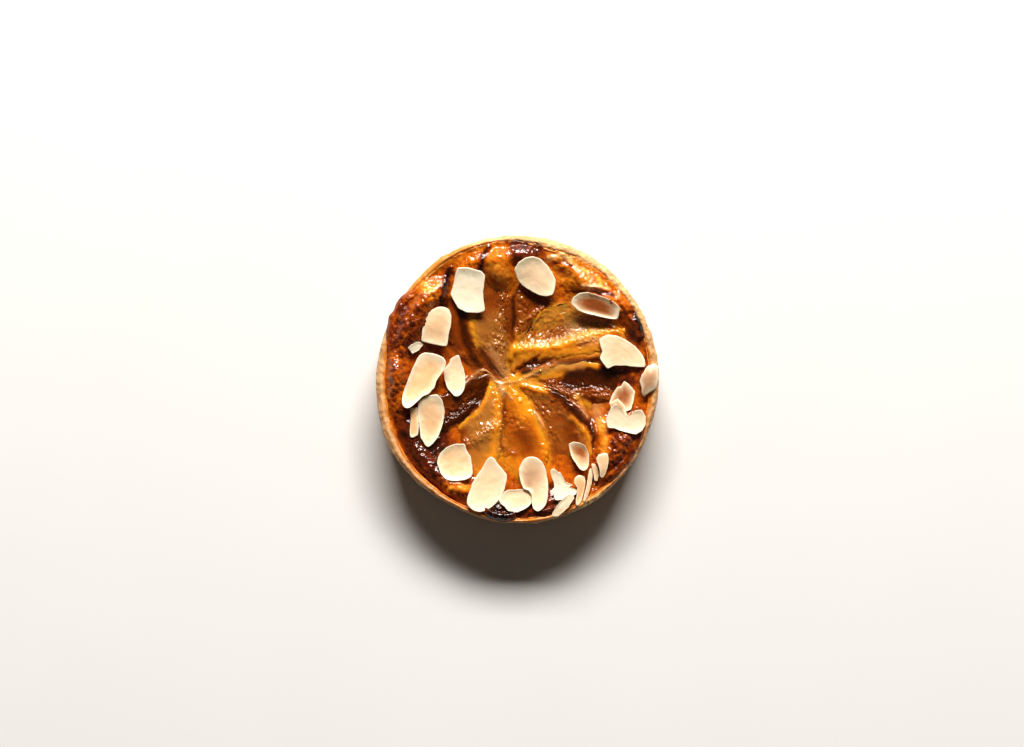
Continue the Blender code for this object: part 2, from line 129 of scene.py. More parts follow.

# Marks along lines on one piece, on all the pears and the syrup between them ("pears"), on that syrup alone
# ("syrup") or on the pears and the filling alike ("top"). A mark is (mask, amount, lift, width, line): it
# adds the amount to a mask of the finish and raises the surface by lift, or sinks it. The masks are bake and
# dry on the filling, amber, flesh, dark, pale and burnt on the pears and the syrup, and beads on them all.
# Some marks paint light and shade, as said beside them: dark in gaps and valleys and on slopes turned from
# the light is painted shade, pale on some edges and patches is painted highlight, and amber on some edges
# and ridges is partly painted light.
STRIP_NORTH = ((-13.4, 37.5), (-12.4, 42), (-10.4, 46.4))
STRIP_NORTH_WEST = ((-26.4, 26), (-25.6, 32), (-23.8, 38.6))
GAP_NORTH = ((-2.2, 8), (-1.5, 16), (-1.3, 24), (-1.2, 32))
GAP_NORTH_WEST = ((-13.5, 5), (-17, 11), (-18.6, 17), (-19, 24))
# Where the fold of the large east slice glints: a painted highlight there, and beads for relief.
GLINT_PATCH_EAST = ((22.5, 13), (27.6, 13.6))
MARKS = {
    "top": (
        ("dark", 1.0, 0.7, 1.2, STRIP_NORTH),
        ("dark", 1.0, 0.7, 1.4, STRIP_NORTH_WEST),
        ("beads", 0.9, 0.0, 0.9, STRIP_NORTH),
        ("beads", 0.9, 0.0, 0.9, STRIP_NORTH_WEST),
        # Painted shade: a black spot at the deep head of the valley under the large east slice's thick edge.
        ("burnt", 0.9, -0.3, 0.8, ((2.0, 2.3), (4.6, 3.2))),
        ("pale", 0.9, 0.5, 0.6, ((6.3, -11.9), (7.6, -14.2), (9.1, -16.3))),
    ),
    "almond_filling": (
        ("dry", 0.3, 0.0, 2.2, ((27.6, -8), (28.5, -15))),
        ("bake", 0.62, 0.0, 1.2, STRIP_NORTH),
        ("bake", 0.62, 0.0, 1.4, STRIP_NORTH_WEST),
        # Painted shade on the filling, carrying on the shade of the east slice's slope turned from the light.
        ("bake", 0.4, 0.0, 3.0, ((33, 1), (38.5, 0))),
        ("bake", 0.3, -0.4, 3.6, ((-27, -17), (-25, -24))),
        ("beads", 0.4, 0.0, 3.0, ((-30, 33), (-35, 26))),
        ("beads", 0.4, 0.0, 2.6, ((-42, 6), (-43, -6))),
        ("beads", 0.5, 0.0, 1.8, ((-10, -46.0), (-4, -46.8))),
        ("beads", 0.7, 0.0, 2.6, ((36, -18), (38, -24), (33, -32))),
        ("beads", 0.5, 0.0, 1.6, ((29.4, -12), (30, -19))),
        ("dry", 0.8, 0.4, 0.9, ((11, 42.5), (15, 43.6), (19, 41.5))),
        ("dry", 0.9, 0.5, 0.6, ((22.6, 32.6), (27, 32.8), (31.4, 31.6))),
        ("bake", 0.4, -0.4, 0.7, ((13, 40.6), (16, 41.4), (19, 39.8))),
        ("bake", 0.5, -0.5, 0.8, ((20, 31), (27, 30.8), (34, 29.4))),
        ("bake", 0.35, 0.5, 1.3, ((41.5, 23), (43.2, 18.5))),
        ("bake", 0.2, 0.6, 1.2, ((-9.5, -47.6), (-5, -48))),
        ("bake", -0.3, 0.3, 2.4, ((-33, 33), (-27.5, 29))),
        ("bake", -0.5, 0.4, 1.7, ((-24, -38.2), (-18, -37.6))),
        ("bake", -0.5, 0.4, 1.7, ((29.5, -15), (30.4, -20), (30, -27))),
    ),
    "syrup": (
        ("dark", 0.0, 1.4, 1.5, ((1, 2.6), (7, 4.4), (14, 5.8), (22, 6.6), (30, 7.6))),
        ("dark", 0.0, 1.3, 1.4, GAP_NORTH),
        ("dark", 0.0, 0.8, 1.4, GAP_NORTH_WEST),
    ),
    "pears": (
        # Partly painted light: an amber line along the north-west edge of the large east slice, where it
        # glints.
        ("amber", 0.4, 0.15, 1.6, ((-1.2, 11), (-0.2, 16), (2.4, 19.4), (6.3, 22.6), (10.6, 25.4),
         (14, 27.2))),
        ("beads", 0.9, 0.2, 0.7, ((-0.6, 16), (1.4, 19.6), (6.1, 23.5), (10.4, 26.4), (12.5, 28),
         (17.5, 28.4))),
        ("beads", 0.5, 0.0, 2.2, ((1, 21), (3, 24.5), (8, 28))),
        # Painted highlight beside the dark edge of the south-east slice.
        ("pale", 0.6, 0.4, 1.0, ((20.4, -7), (22.4, -10.4), (24.2, -12.6))),
        ("beads", 1.0, 0.0, 1.4, ((11, -2), (17, -4.4), (21, -7.4), (24, -12), (27, -15))),
        # Painted shade in the gap between the south-west and south slices.
        ("dark", 0.4, -0.2, 0.9, ((-4.6, -5.5), (-4.6, -10), (-5.4, -15), (-6.4, -24))),
        ("pale", 0.7, 0.3, 0.8, ((-5, -3.4), (-3.4, -5.4), (-2.2, -6.4))),
        ("amber", 0.8, 0.3, 0.9, ((-24, -18), (-18.6, -15), (-13.8, -11.6), (-10.4, -6), (-9.6, -1.6))),
        ("beads", 0.7, 0.2, 1.6, ((-6, -13), (-5, -22), (-6, -26))),
        # Painted highlight along the keen edge of the south-west slice.
        ("pale", 0.9, 0.4, 0.5, ((-12.4, 3.1), (-11.2, 3), (-8.7, 0.8), (-6.2, -1.9), (-5.3, -5.4))),
        # A pale edge along the top of the west slice: partly its dry edge and partly painted highlight.
        ("pale", 0.5, 0.2, 0.6, ((-19, -1.8), (-17.9, -1), (-15.4, 1.1), (-13.3, 3.5))),
        ("beads", 1.3, 0.0, 1.8, ((-25.3, -14.0), (-21, -11.4), (-15.8, -7.8))),
        ("dark", 0.4, 0.9, 1.6, ((-26, -17), (-21.6, -14), (-18.2, -11.6), (-14.6, -8.8))),
        # Painted shade in the gaps on either side of the north slice.
        ("dark", 0.45, -0.3, 0.8, GAP_NORTH),
        ("dark", 0.5, -0.4, 1.6, GAP_NORTH_WEST),
        ("beads", 0.5, 0.0, 2.2, ((-16, 6), (-13, 3))),
        ("pale", 0.4, 0.4, 0.8, ((-5.3, -1.9), (-2.6, -1.1), (0.9, -0.3), (4.4, 1.0), (8, 2.4))),
    ),
    "pear_large_east": (
        # Partly painted light: the fold of the large east slice is amber where it faces the light.
        ("amber", 1.0, 1.1, 1.9, ((-1, 10.4), (4, 11.2), (10, 11.2), (15.8, 12), (20.9, 14.2), (27.6, 16.4),
         (37, 17.2))),
        ("amber", 0.8, 0.2, 2.0, ((-2.4, 6), (-0.8, 9), (6, 8.8), (14, 8.8), (24, 10.4), (32, 12))),
        # Painted shadow in the valley under the large east slice's thick edge.
        ("dark", 0.55, -1.3, 2.0, ((1, 3.2), (6, 5.2), (12, 5.8), (20, 6), (30, 6.6), (38, 8.6))),
        ("flesh", 0.8, -0.8, 3.4, ((6, 17.5), (14, 16.6), (20, 18.4), (28, 20))),
        ("beads", 1.4, 0.0, 3.0, ((4, 14.6), (11, 16), (17, 16.6), (23, 18.6), (29, 19.2))),
        # Painted highlight: a glinting patch near the outer end of the large east slice.
        ("pale", 0.6, 0.0, 2.6, ((20, 18.6), (25, 20), (30, 20))),
        ("flesh", 0.7, 0.0, 4.0, ((8, 21), (13, 23), (20, 22.5), (27, 21.5))),
        ("amber", 0.3, 0.0, 4.5, ((8, 20), (13, 22), (20, 21), (27, 20))),
        # Painted highlight where the fold glints; the beads below give the same place relief.
        ("pale", 0.5, 0.3, 1.8, GLINT_PATCH_EAST),
        ("beads", 0.9, 0.0, 1.8, GLINT_PATCH_EAST),
    ),
    "pear_north": (
        ("amber", 0.8, 0.4, 1.6, ((-16.5, 21.5), (-15.4, 16), (-13.8, 12.6))),
        ("dark", 0.45, 0.2, 1.2, ((-12.6, 10.4), (-9.6, 5.8), (-7, 2))),
        ("dark", 0.3, 0.0, 4.5, ((-9.5, 34), (-8.5, 27))),
        ("beads", 0.6, 0.0, 1.8, ((-6.5, 13), (-5.5, 5), (-4.4, 0))),
        ("beads", 1.2, 0.0, 2.8, ((-4.6, 29), (-4.8, 20), (-5.6, 13))),
        ("pale", 0.45, 0.1, 1.8, ((-9.5, 11), (-6.6, 6), (-4.6, 1))),
        ("flesh", 0.8, -0.2, 3.2, ((-11, 26), (-8.5, 12))),
    ),
    "pear_north_east": (
        ("flesh", 0.6, 0.2, 1.6, ((1.5, 22), (0.5, 27), (2, 31))),
    ),
    "pear_north_west": (
        ("flesh", 0.8, 0.3, 2.4, ((-19.5, 8), (-16, 4.5), (-12.5, 2.6))),
    ),
    "pear_east": (
        # Partly painted light on the east slice's raised north edge, which faces the light: amber along it,
        # and a pale painted highlight on it.
        ("amber", 1.0, 0.25, 1.8, ((-2, 0.1), (4, 1.2), (8.3, 2.4), (13.3, 3.8), (19.2, 4.0), (22.5, 4.8),
         (28, 5.0))),
        ("pale", 0.4, 0.1, 1.5, ((4, 1.7), (8.3, 3.1), (13.3, 4.5), (19.2, 4.6), (22.5, 5.3))),
        ("amber", 0.8, 0.0, 1.1, ((7, 1.0), (13, 1.8), (18, 1.6))),
        # Painted shade on the east slice's slope turned away from the light.
        ("dark", 1.1, -0.5, 3.2, ((19, 0.3), (25, 1), (31, 1), (37, 0))),
        ("flesh", 0.5, 0.7, 1.8, ((14, -4.4), (22, -5.4), (28, -6), (33, -7))),
        ("beads", 1.2, 0.0, 2.6, ((12, -2.4), (17, -3.2), (23, -4.2), (31, -5))),
        ("amber", 0.9, 0.5, 1.3, ((21, -6.5), (25, -9.5), (29, -14), (31, -18.5))),
    ),
    "pear_west": (
        ("dark", -0.25, 0.0, 3.0, ((-26, -11), (-20, -7))),
        ("amber", 0.3, 0.0, 1.0, ((-13.8, 3.2), (-11, 1.8), (-9.6, 0.4))),
    ),
    "pear_south_east": (
        ("dark", 0.75, 0.1, 1.5, ((13, -4.4), (16.6, -7), (20, -11.2), (23.6, -14.6), (26.4, -18),
         (27.2, -24))),
        ("amber", 0.7, 0.4, 1.1, ((19, -13.5), (23, -17), (25.2, -21), (25.4, -26))),
        ("amber", 0.9, 0.7, 2.0, ((1.5, -1.8), (5, -2.6), (9, -4.4))),
        ("beads", 0.6, 0.0, 2.2, ((6, -8), (10, -12), (11, -20))),
        ("flesh", 0.6, -0.7, 3.0, ((9, -7.5), (15, -11), (19, -17), (20, -24))),
    ),
    "pear_south": (
        ("amber", 0.8, 0.2, 3.0, ((-3, -3), (0.5, -7), (2.5, -12))),
        ("amber", 0.7, 0.1, 1.4, ((3, -7), (6.5, -14), (9.5, -22), (11, -30))),
        ("dark", 0.2, -0.5, 4.2, ((-1.5, -15), (1, -19), (3, -24))),
        ("dark", 0.3, 0.4, 1.2, ((-5.5, -23.4), (-3.5, -24.6), (-1, -26))),
        ("amber", 0.7, 0.1, 3.5, ((-3, -29), (2, -33), (8, -35))),
    ),
    "pear_south_west": (
        ("amber", 0.7, 0.1, 1.6, ((-8.4, -1.5), (-7, -8), (-7.2, -15), (-8.4, -26))),
        ("flesh", 1.1, 0.3, 4.0, ((-11.4, -4), (-12.6, -11), (-13.6, -20))),
        # Painted shade in the trough beside the west slice's flank, together with the syrup that lies there.
        ("dark", 0.9, -0.9, 2.2, ((-11.6, -1.2), (-13, -5.5), (-15.8, -9.4), (-21, -12.6))),
        ("dark", 0.5, -0.3, 3.0, ((-25, -15.5), (-20, -19.5), (-20, -25))),
        ("beads", 0.9, 0.5, 2.0, ((-18, -22.5), (-13, -20), (-9, -17))),
        ("amber", 0.6, 0.0, 3.0, ((-9, -28), (-12, -33), (-16, -37))),
    ),
}
# How far the marks' edges wander, and over what length.
MARK_WANDER, MARK_WANDER_SIZE = 0.55, 3.0

# The rim at every 30 degrees: its bake (0 pale, 0.5 golden, 1 brown), how open its crumb is, how far glaze
# has run over it from the inside, and, in millimetres, how far below its top the filling meets it and how
# far the filling has shrunk from it.
RimLook = namedtuple("RimLook", "bake crumb glaze drop gap")
RIM_LOOKS = (
    RimLook(0.42, 0.8, 0.35, 0.9, 0.0),
    RimLook(0.30, 1.0, 0.20, 0.4, 0.0),
    RimLook(0.34, 1.0, 0.15, 0.1, 0.0),
    RimLook(0.42, 0.9, 0.25, 0.1, 0.0),
    RimLook(0.34, 0.3, 1.05, 0.0, 0.0),
    RimLook(0.30, 0.3, 0.90, 0.2, 0.0),
    RimLook(0.42, 0.15, 0.25, 1.2, 0.3),
    # At 210, 240 and 270 degrees the rim is browner, partly painted shade on the side turned from the light.
    RimLook(0.50, 0.10, 0.20, 1.5, 0.8),
    RimLook(0.66, 0.10, 0.40, 1.4, 0.5),
    RimLook(0.62, 0.30, 0.70, 1.1, 0.1),
    RimLook(0.26, 1.2, 0.50, 0.8, 0.1),
    RimLook(0.60, 0.5, 0.40, 1.0, 0.0),
)

# The section of the rim, as (share of its width from outside, drop from its top), as in the model.
RIM_PROFILE = ((0.0, 1.9), (0.22, 0.55), (0.5, 0.0), (0.78, 0.5), (1.0, 1.8))

# The flaked almonds, in the model's order: how warm the heart is, how white the whole flake is, in part
# painted light that brightens flakes tilted away from the light, how far syrup has darkened it, the side that
# the syrup came from (None for all of it), how far the edge stands above the middle, and the corners of the
# outline in plan.
Flake = namedtuple("Flake", "heart white soaked side dish outline")
FLAKES = (
    Flake(0.3, 1.0, 0.0, None, 0.5, ((-20.9, 39.3), (-17.1, 39.3), (-12.5, 37.9), (-11.3, 36.4),
          (-12, 30.4), (-11.8, 27.4), (-11.3, 23.9), (-13.8, 23.2), (-17.9, 23.5), (-20.9, 25),
          (-22.8, 28.4), (-23.6, 29.8), (-22.4, 33.5), (-21.7, 37.3))),
    Flake(0.8, 0.2, 0.0, None, 0.4, ((-28.4, 25.2), (-27.1, 25.6), (-25.3, 25.3), (-23.8, 24.5),
          (-23.1, 22.4), (-23.4, 18.7), (-24.3, 14.5), (-24.6, 11.6), (-26.7, 11.7), (-29.7, 12.3),
          (-33.8, 13.4), (-33, 20), (-32.4, 22.3), (-31.1, 23.6))),
    Flake(0.1, 1.0, 0.0, None, 0.3, ((-38.4, 11), (-37.8, 11.8), (-35.5, 13.1), (-34.2, 13.2),
          (-32.8, 12.4), (-34.7, 10.1), (-36.8, 8.9))),
    Flake(0.4, 0.3, 0.0, None, 0.3, ((-20.5, 8.8), (-19.7, 5.8), (-18.8, 3.3), (-18.3, 0.8), (-18.3, -1.7),
          (-18.8, -3.8), (-19.7, -5.3), (-21.1, -6.2), (-22.2, -5.9), (-23.4, -4.6), (-24.7, -3),
          (-25.7, 0), (-26, 3.3), (-24, 5.8), (-23.7, 7.3))),
    Flake(0.8, 0.0, 0.0, None, 0.2, ((-37.7, -10.1), (-35.1, -9.7), (-34.6, -13.4), (-34.6, -17.2),
          (-34.8, -19.5), (-36.4, -20.5), (-37.6, -20.4), (-37.7, -17.6), (-37.3, -13.8))),
    Flake(0.8, 0.1, 0.0, None, 0.5, ((-34.7, -8), (-33.1, -6.3), (-30.5, -5.4), (-28, -5.2), (-26.4, -7.1),
          (-25.7, -9.7), (-25.5, -11.8), (-25.9, -14.7), (-26.8, -17.6), (-28, -20.5), (-29.7, -22.6),
          (-31.4, -24), (-32.4, -23.3), (-33, -21.8), (-34, -20.5), (-34.3, -17.2), (-34.7, -13.8),
          (-35.1, -10.9))),
    Flake(0.9, 0.0, 0.0, None, 1.0, ((-32.6, 9.4), (-30.5, 9.2), (-28, 8.7), (-26, 7.7), (-24.9, 6),
          (-25.5, 3.6), (-27.6, 0.8), (-28.5, -0.9), (-29.1, -3), (-31, -5), (-33.5, -6.2), (-34.7, -7.6),
          (-36.4, -9), (-37.5, -10.2), (-38.9, -10.5), (-40.2, -9.4), (-40.5, -7.1), (-39.9, -4.6),
          (-38.9, -1.7), (-37.6, 1.6), (-36.4, 4.6), (-35.1, 7.5), (-34.1, 8.8))),
    Flake(0.9, 0.5, 0.0, None, 0.5, ((-1.2, 38.5), (0.2, 40.9), (2.6, 42.6), (5.4, 43.1), (8.2, 42.2),
          (10.6, 39.9), (12.4, 37.1), (13.5, 34.7), (13.1, 31.9), (12.4, 29.8), (10.3, 29.1), (7.5, 29.6),
          (4.3, 31.2), (1.6, 32.9), (-0.2, 35.4))),
    Flake(0.9, 0.2, 1.2, None, 0.8, ((18.6, 26.6), (19.3, 28.7), (21.8, 30.3), (24.6, 30.5), (28, 29.6),
          (31.5, 28.4), (34.3, 26.8), (36.1, 24.9), (35.5, 22.8), (35.2, 20.9), (32.2, 21.3), (28.7, 22.1),
          (24.6, 23), (21.1, 24.2))),
    Flake(0.6, 0.25, 0.0, None, 0.3, ((28.5, 14.1), (31.5, 15.9), (35, 15.3), (37.8, 14.1), (41.3, 11.7),
          (43.4, 9.2), (44.6, 7.1), (45, 4.3), (42, 4.3), (37.8, 4.7), (33.6, 4.8), (31.5, 3.5),
          (30.1, 5.4), (28.7, 7.5), (29.7, 9.6), (29.1, 11.7))),
    Flake(0.3, 0.3, 0.65, None, 0.3, ((45.4, 4.7), (47.9, 5.7), (49.3, 4.7), (49.4, 0.5), (48.6, -3),
          (46.5, -4.4), (44.1, -6.4), (43.5, -4.7), (43.7, -3), (42.7, -0.5), (43.7, 1.9))),
    Flake(0.5, 0.1, 0.9, None, 0.4, ((37.4, -0.5), (39.2, -1.6), (41.3, -4.3), (40.7, -7.8), (39.9, -10.6),
          (38, -11.4), (35.5, -9.6), (32.9, -9.9), (32.1, -8.5), (33.3, -5.1), (35, -2.6), (36.4, -2.3))),
    Flake(0.5, 0.2, 0.8, None, 0.3, ((32.3, -8.5), (35.2, -6.6), (37.6, -9.4), (38.4, -12.7), (35.7, -13.2),
          (33.3, -12.4))),
    Flake(0.1, 0.6, 0.0, None, 0.5, ((30.8, -14.1), (31.5, -12.4), (32.6, -9.9), (34.3, -8.3), (36, -9.9),
          (37.4, -12.2), (39.2, -12.8), (41, -10.8), (43.4, -10.6), (44.8, -12.7), (45, -15.5),
          (43.7, -17.9), (41.3, -19.3), (38.5, -18.6), (35.7, -17.9), (33.6, -16.9), (31.5, -17.2))),
    Flake(0.6, 0.0, 0.0, None, 0.6, ((-28.2, -29.2), (-27.8, -27.3), (-26.8, -25.6), (-25.1, -24),
          (-23.2, -23), (-21.3, -22.6), (-18.4, -22.6), (-18, -24.4), (-17.3, -25.8), (-16.3, -27.1),
          (-16.2, -28.6), (-15.9, -30.3), (-15.7, -33.2), (-16.7, -34.5), (-18.4, -35.3), (-20.9, -35.7),
          (-23.2, -35.6), (-25.3, -34.9), (-26.8, -33.2), (-27.6, -31.1))),
    Flake(0.5, 0.25, 0.0, None, 0.4, ((-9.4, -26.9), (-7.9, -27.9), (-7.1, -29.4), (-6, -30.4), (-5, -31.9),
          (-3.6, -33.4), (-3.7, -35.3), (-4.7, -39.3), (-6, -41.6), (-7.5, -43.5), (-9.2, -45),
          (-11.3, -46.2), (-13.4, -46.6), (-15.5, -46), (-17.1, -44.7), (-17.8, -43.3), (-17.5, -41.2),
          (-16.7, -39), (-15.7, -36.1), (-14.2, -33.6), (-12.5, -31.3), (-11, -28.4))),
    Flake(0.5, 0.3, 0.0, None, 0.5, ((-6.6, -42.3), (-5, -39.5), (-3.3, -38.7), (-0.3, -38.6), (2.6, -38.4),
          (5.1, -38.2), (5.5, -41.2), (5.1, -43.3), (3.4, -45), (1.8, -45.8), (0.1, -46.6), (-1.6, -46.4),
          (-3.3, -46.2), (-4.5, -44.5), (-5.8, -43.7))),
    Flake(0.3, 0.2, 0.6, 125, 0.5, ((0.5, -31.5), (1, -29.8), (2, -28.2), (3.7, -27.2), (5.4, -27),
          (7.2, -27.5), (8.7, -29), (9.8, -31), (10.4, -33.6), (10.8, -36.1), (10.9, -38.6), (10.7, -41.2),
          (10.2, -43.7), (9.1, -45.1), (7.2, -46.6), (6, -46), (5.1, -44.5), (5.1, -42.8), (5, -40.3),
          (3.8, -38.8), (2, -38.2), (1.2, -36.1), (0.7, -34))),
    Flake(0.0, 0.8, 0.0, None, 0.5, ((11.2, -31.9), (12.6, -31), (14.4, -31.4), (14.7, -32.9),
          (15.9, -34.1), (16.8, -35.8), (18, -37.5), (19.7, -37), (21, -38.6), (20.5, -40.3), (19, -41.2),
          (16.3, -42), (14.2, -42.5), (13, -42.2), (12.6, -40.3), (11.7, -38.9), (13, -37.8), (12.7, -36.1),
          (11.9, -34))),
    Flake(0.1, 0.6, 0.0, None, 0.5, ((18.4, -39.7), (20, -41.2), (19, -42.8), (18, -44.5), (16.3, -46.2),
          (14.2, -48), (11.9, -48.1), (12.1, -46.8), (13.5, -44.7), (14.8, -42.8), (16.5, -41.2))),
    Flake(0.8, 0.0, 0.0, None, 0.3, ((20, -34.4), (21.5, -33.4), (23.6, -33.8), (23.9, -36.1),
          (23.4, -39.1), (22.6, -42), (21.5, -44.1), (20.5, -44.4), (20.3, -42.6), (20.9, -40), (21, -37.8),
          (19.8, -36.1))),
    Flake(0.6, 0.2, 0.0, None, 0.2, ((25.9, -30.7), (26.4, -33.2), (26.1, -36.1), (25.1, -39.5),
          (24, -42.4), (22.8, -43.5), (23.4, -40.3), (24.2, -37.4), (24.8, -33.6), (25.2, -31.5))),
    Flake(0.7, 0.1, 0.0, None, 0.2, ((25.9, -29.4), (27.2, -29.6), (28.2, -31.1), (28.6, -33.2),
          (28.2, -35.7), (27, -35.7), (26.8, -33.6), (26.3, -31.9))),
    Flake(0.6, 0.1, 0.0, None, 0.4, ((27.4, -27.7), (28.4, -26.3), (30.5, -25.6), (31.6, -26),
          (31.9, -28.2), (31.4, -31.1), (30.7, -33.2), (29.7, -34.7), (28.8, -34), (28.7, -31.5),
          (28.2, -29.8))),
    Flake(0.8, 0.1, 1.4, 60, 0.8, ((18, -22.7), (19.6, -21.9), (21.7, -22.1), (23.8, -23.1), (24.9, -25.6),
          (25.1, -28.2), (25, -30.5), (24.2, -31.7), (23.2, -32.1), (21.9, -31.5), (20.5, -29.6),
          (19.2, -27.7), (18.4, -25.6))),
)


# ---------------------------------------------------------------------------------------------------------
# Sizes and colours that a user would change


def length_setting(name, description, default, least=0.0, most=0.01):
    return bpy.props.FloatProperty(
        name=name, description=description, default=default, min=least, max=most, unit="LENGTH", precision=5
    )


def power_setting(name, description, default):
    return bpy.props.FloatProperty(name=name, description=description, default=default, min=0, unit="POWER")


def colour_setting(name, description, default):
    return bpy.props.FloatVectorProperty(
        name=name, description=description, default=default, subtype="COLOR", min=0, max=1
    )


class TartPastrySettings(bpy.types.PropertyGroup):
    """The shortcrust shell."""

    lumps: length_setting("Lumps", "Height of the uneven lumps along the rim", 0.00035)
    crumb: length_setting("Crumb", "Depth of the open, sandy crumb on the rim", 0.00022)
    grain: length_setting("Grain", "Depth of the grain on the smooth wall", 0.00006)
    pale: colour_setting("Pale", "Pastry where it is least baked", (0.86, 0.62, 0.27))
    golden: colour_setting("Golden", "Pastry where it is baked through", (0.66, 0.35, 0.15))
    browned: colour_setting("Browned", "Pastry at its hardest baked edges", (0.30, 0.10, 0.022))
    glazed: colour_setting("Glazed", "Pastry under the syrup", (0.72, 0.22, 0.010))


class TartFillingSettings(bpy.types.PropertyGroup):
    """The baked almond cream."""

    blisters: length_setting("Blisters", "Height of the pebbled skin on the domes", 0.0009)
    golden: colour_setting("Golden", "Almond cream that has only just coloured", (0.90, 0.37, 0.040))
    orange: colour_setting("Orange", "Almond cream under syrup", (0.62, 0.15, 0.004))
    brown: colour_setting("Red-brown", "Almond cream that is well browned", (0.21, 0.034, 0.006))
    burnt: colour_setting("Burnt", "Almond cream that has caught", (0.012, 0.004, 0.003))
    pale: colour_setting("Pale", "Dry flakes of the cream's skin", (0.90, 0.58, 0.25))


class TartPearSettings(bpy.types.PropertyGroup):
    """The pear slices."""

    fibres: length_setting("Fibres", "Height of the fibres along a slice", 0.00002)
    dimples: length_setting("Dimples", "Depth of the soft dimples of the baked flesh", 0.00026)
    grit: length_setting("Grit", "Height of the gritty grain of the flesh", 0.00006)
    beads: length_setting("Beads", "Height of the beads of syrup", 0.00032)
    flesh: colour_setting("Flesh", "Stewed pear", (0.46, 0.19, 0.036))
    syrup: colour_setting("Syrup", "Pear full of syrup", (0.60, 0.17, 0.006))
    amber: colour_setting("Amber", "Thin flesh that the light comes through", (0.90, 0.36, 0.018))
    # Toffee and caramel are picked by the dark mask, so they also paint shade: in hollows, in gaps and
    # valleys between the slices, and on slopes turned from the light.
    toffee: colour_setting("Toffee", "Browned flesh and the syrup in its hollows", (0.31, 0.068, 0.004))
    caramel: colour_setting("Caramel", "The darkest flesh and the deepest syrup", (0.085, 0.016, 0.001))
    # Pale is also used for painted highlights on some edges and patches of the slices.
    pale: colour_setting("Pale", "Dry fibres", (0.70, 0.36, 0.16))


class TartAlmondSettings(bpy.types.PropertyGroup):
    """The flaked almonds."""

    thickness: length_setting("Thickness", "Thickness of a flake at its middle", 0.0008)
    edge: colour_setting("Edge", "Pale outer flesh", (0.88, 0.64, 0.39))
    heart: colour_setting("Heart", "Warmer middle", (0.83, 0.49, 0.24))
    brim: colour_setting("Brim", "The thin edge, that the light comes through", (0.96, 0.81, 0.60))
    soaked: colour_setting("Soaked", "Flakes full of syrup", (0.38, 0.11, 0.028))


class TartStageSettings(bpy.types.PropertyGroup):
    """The floor, the lights and the camera."""

    key_power: power_setting("Main light", "Power of the window light", 86)
    fill_power: power_setting("Fill light", "Power of the weak fill", 0.4)
    sky: bpy.props.FloatProperty(name="Sky", description="Strength of the surroundings", default=0.05, min=0)
    camera_height: length_setting("Camera height", "Height of the camera over the rim", 0.9, 0.2, 3.0)
    floor: colour_setting("Floor", "The pale floor", (0.84, 0.825, 0.80))


# ---------------------------------------------------------------------------------------------------------
# Relief, as whole arrays. A term such as 0.3 * layered(points, 5.5, 55, 3) is 0.3 mm of noise with features
# of 5.5 mm, drawn from seed 55 in three layers.


def once_round(steps):
    """Angles at equal steps once round."""
    return np.arange(steps) / steps * TURN


def points_at(x, y, z=0.0):
    """One array of points from their coordinates."""
    return np.stack(np.broadcast_arrays(x, y, z), axis=-1)


def points_round(reach, angle, z=0.0):
    """Points by their distance from the upright axis and their angle round it: (r cos a, r sin a, z)."""
    return points_at(reach * np.cos(angle), reach * np.sin(angle), z)


def ripple(points, size, seed):
    """Gradient noise, about -1 to 1. Each corner of a lattice of the given spacing, which may differ by axis,
    has a random slope, and a point blends what the eight corners round it say by the curve
    6t^5 - 15t^4 + 10t^3."""
    random = np.random.default_rng(seed)
    shuffle = random.permutation(256)
    slopes = random.normal(size=(256, 3))
    slopes /= np.linalg.norm(slopes, axis=1, keepdims=True)
    place = np.asarray(points) / size
    corner = np.floor(place).astype(int)
    part = place - corner
    fade = part ** 3 * (part * (part * 6 - 15) + 10)
    total = 0
    for step in itertools.product((0, 1), repeat=3):
        x, y, z = np.moveaxis((corner + step) & 255, -1, 0)
        slope = slopes[shuffle[(shuffle[(shuffle[x] + y) & 255] + z) & 255]]
        weight = np.where(step, fade, 1 - fade).prod(-1)
        total = total + weight * ((part - step) * slope).sum(-1)
    return 1.7 * total


def layered(points, size, seed, layers=4):
    """Noise summed over layers, each half the size and half the height of the one before."""
    return sum(ripple(points, size / 2 ** i, seed + i) / 2 ** i for i in range(layers))


def pebbles(points, size, seed):
    """Round pebbles, 0 to 1: every cube of a lattice holds one random point, and the height falls from 1
    there with the square of the distance to the nearest of them."""
    random = np.random.default_rng(seed)
    shuffle = random.permutation(256)
    offsets = random.random((256, 3))
    place = np.asarray(points) / size
    corner = np.floor(place).astype(int)
    nearest = np.full(place.shape[:-1], 9.0)
    for step in itertools.product((-1, 0, 1), repeat=3):
        at = corner + step
        x, y, z = np.moveaxis(at & 255, -1, 0)
        centre = at + offsets[shuffle[(shuffle[(shuffle[x] + y) & 255] + z) & 255]]
        nearest = np.minimum(nearest, ((place - centre) ** 2).sum(-1))
    return np.clip(1 - nearest * 1.2, 0, 1)


def beads(points, size, seed):
    """Separate small beads, 0 to 1: the tops of the pebbles."""
    return ease(0.3, 0.95, pebbles(points, size, seed))


def ease(low, high, value):
    """0 below low, 1 above high, and the smooth step 3t^2 - 2t^3 between them. With low the greater of the
    two it falls instead."""
    t = np.clip((value - low) / (high - low), 0, 1)
    return t * t * (3 - 2 * t)


def curve_through(points, steps):
    """Points on the Catmull-Rom curve through points (along axis 0), with steps[i] of them in span i."""
    padded = np.concatenate((points[:1], points, points[-1:]))
    rows = []
    for i, count in enumerate(steps):
        a, b, c, d = padded[i:i + 4]
        t = (np.arange(count) / count).reshape((-1,) + (1,) * (points.ndim - 1))
        rows.append(b + 0.5 * t * (c - a + t * (2 * a - 5 * b + 4 * c - d + t * (3 * (b - c) + d - a))))
    return np.concatenate(rows + [points[-1:]])


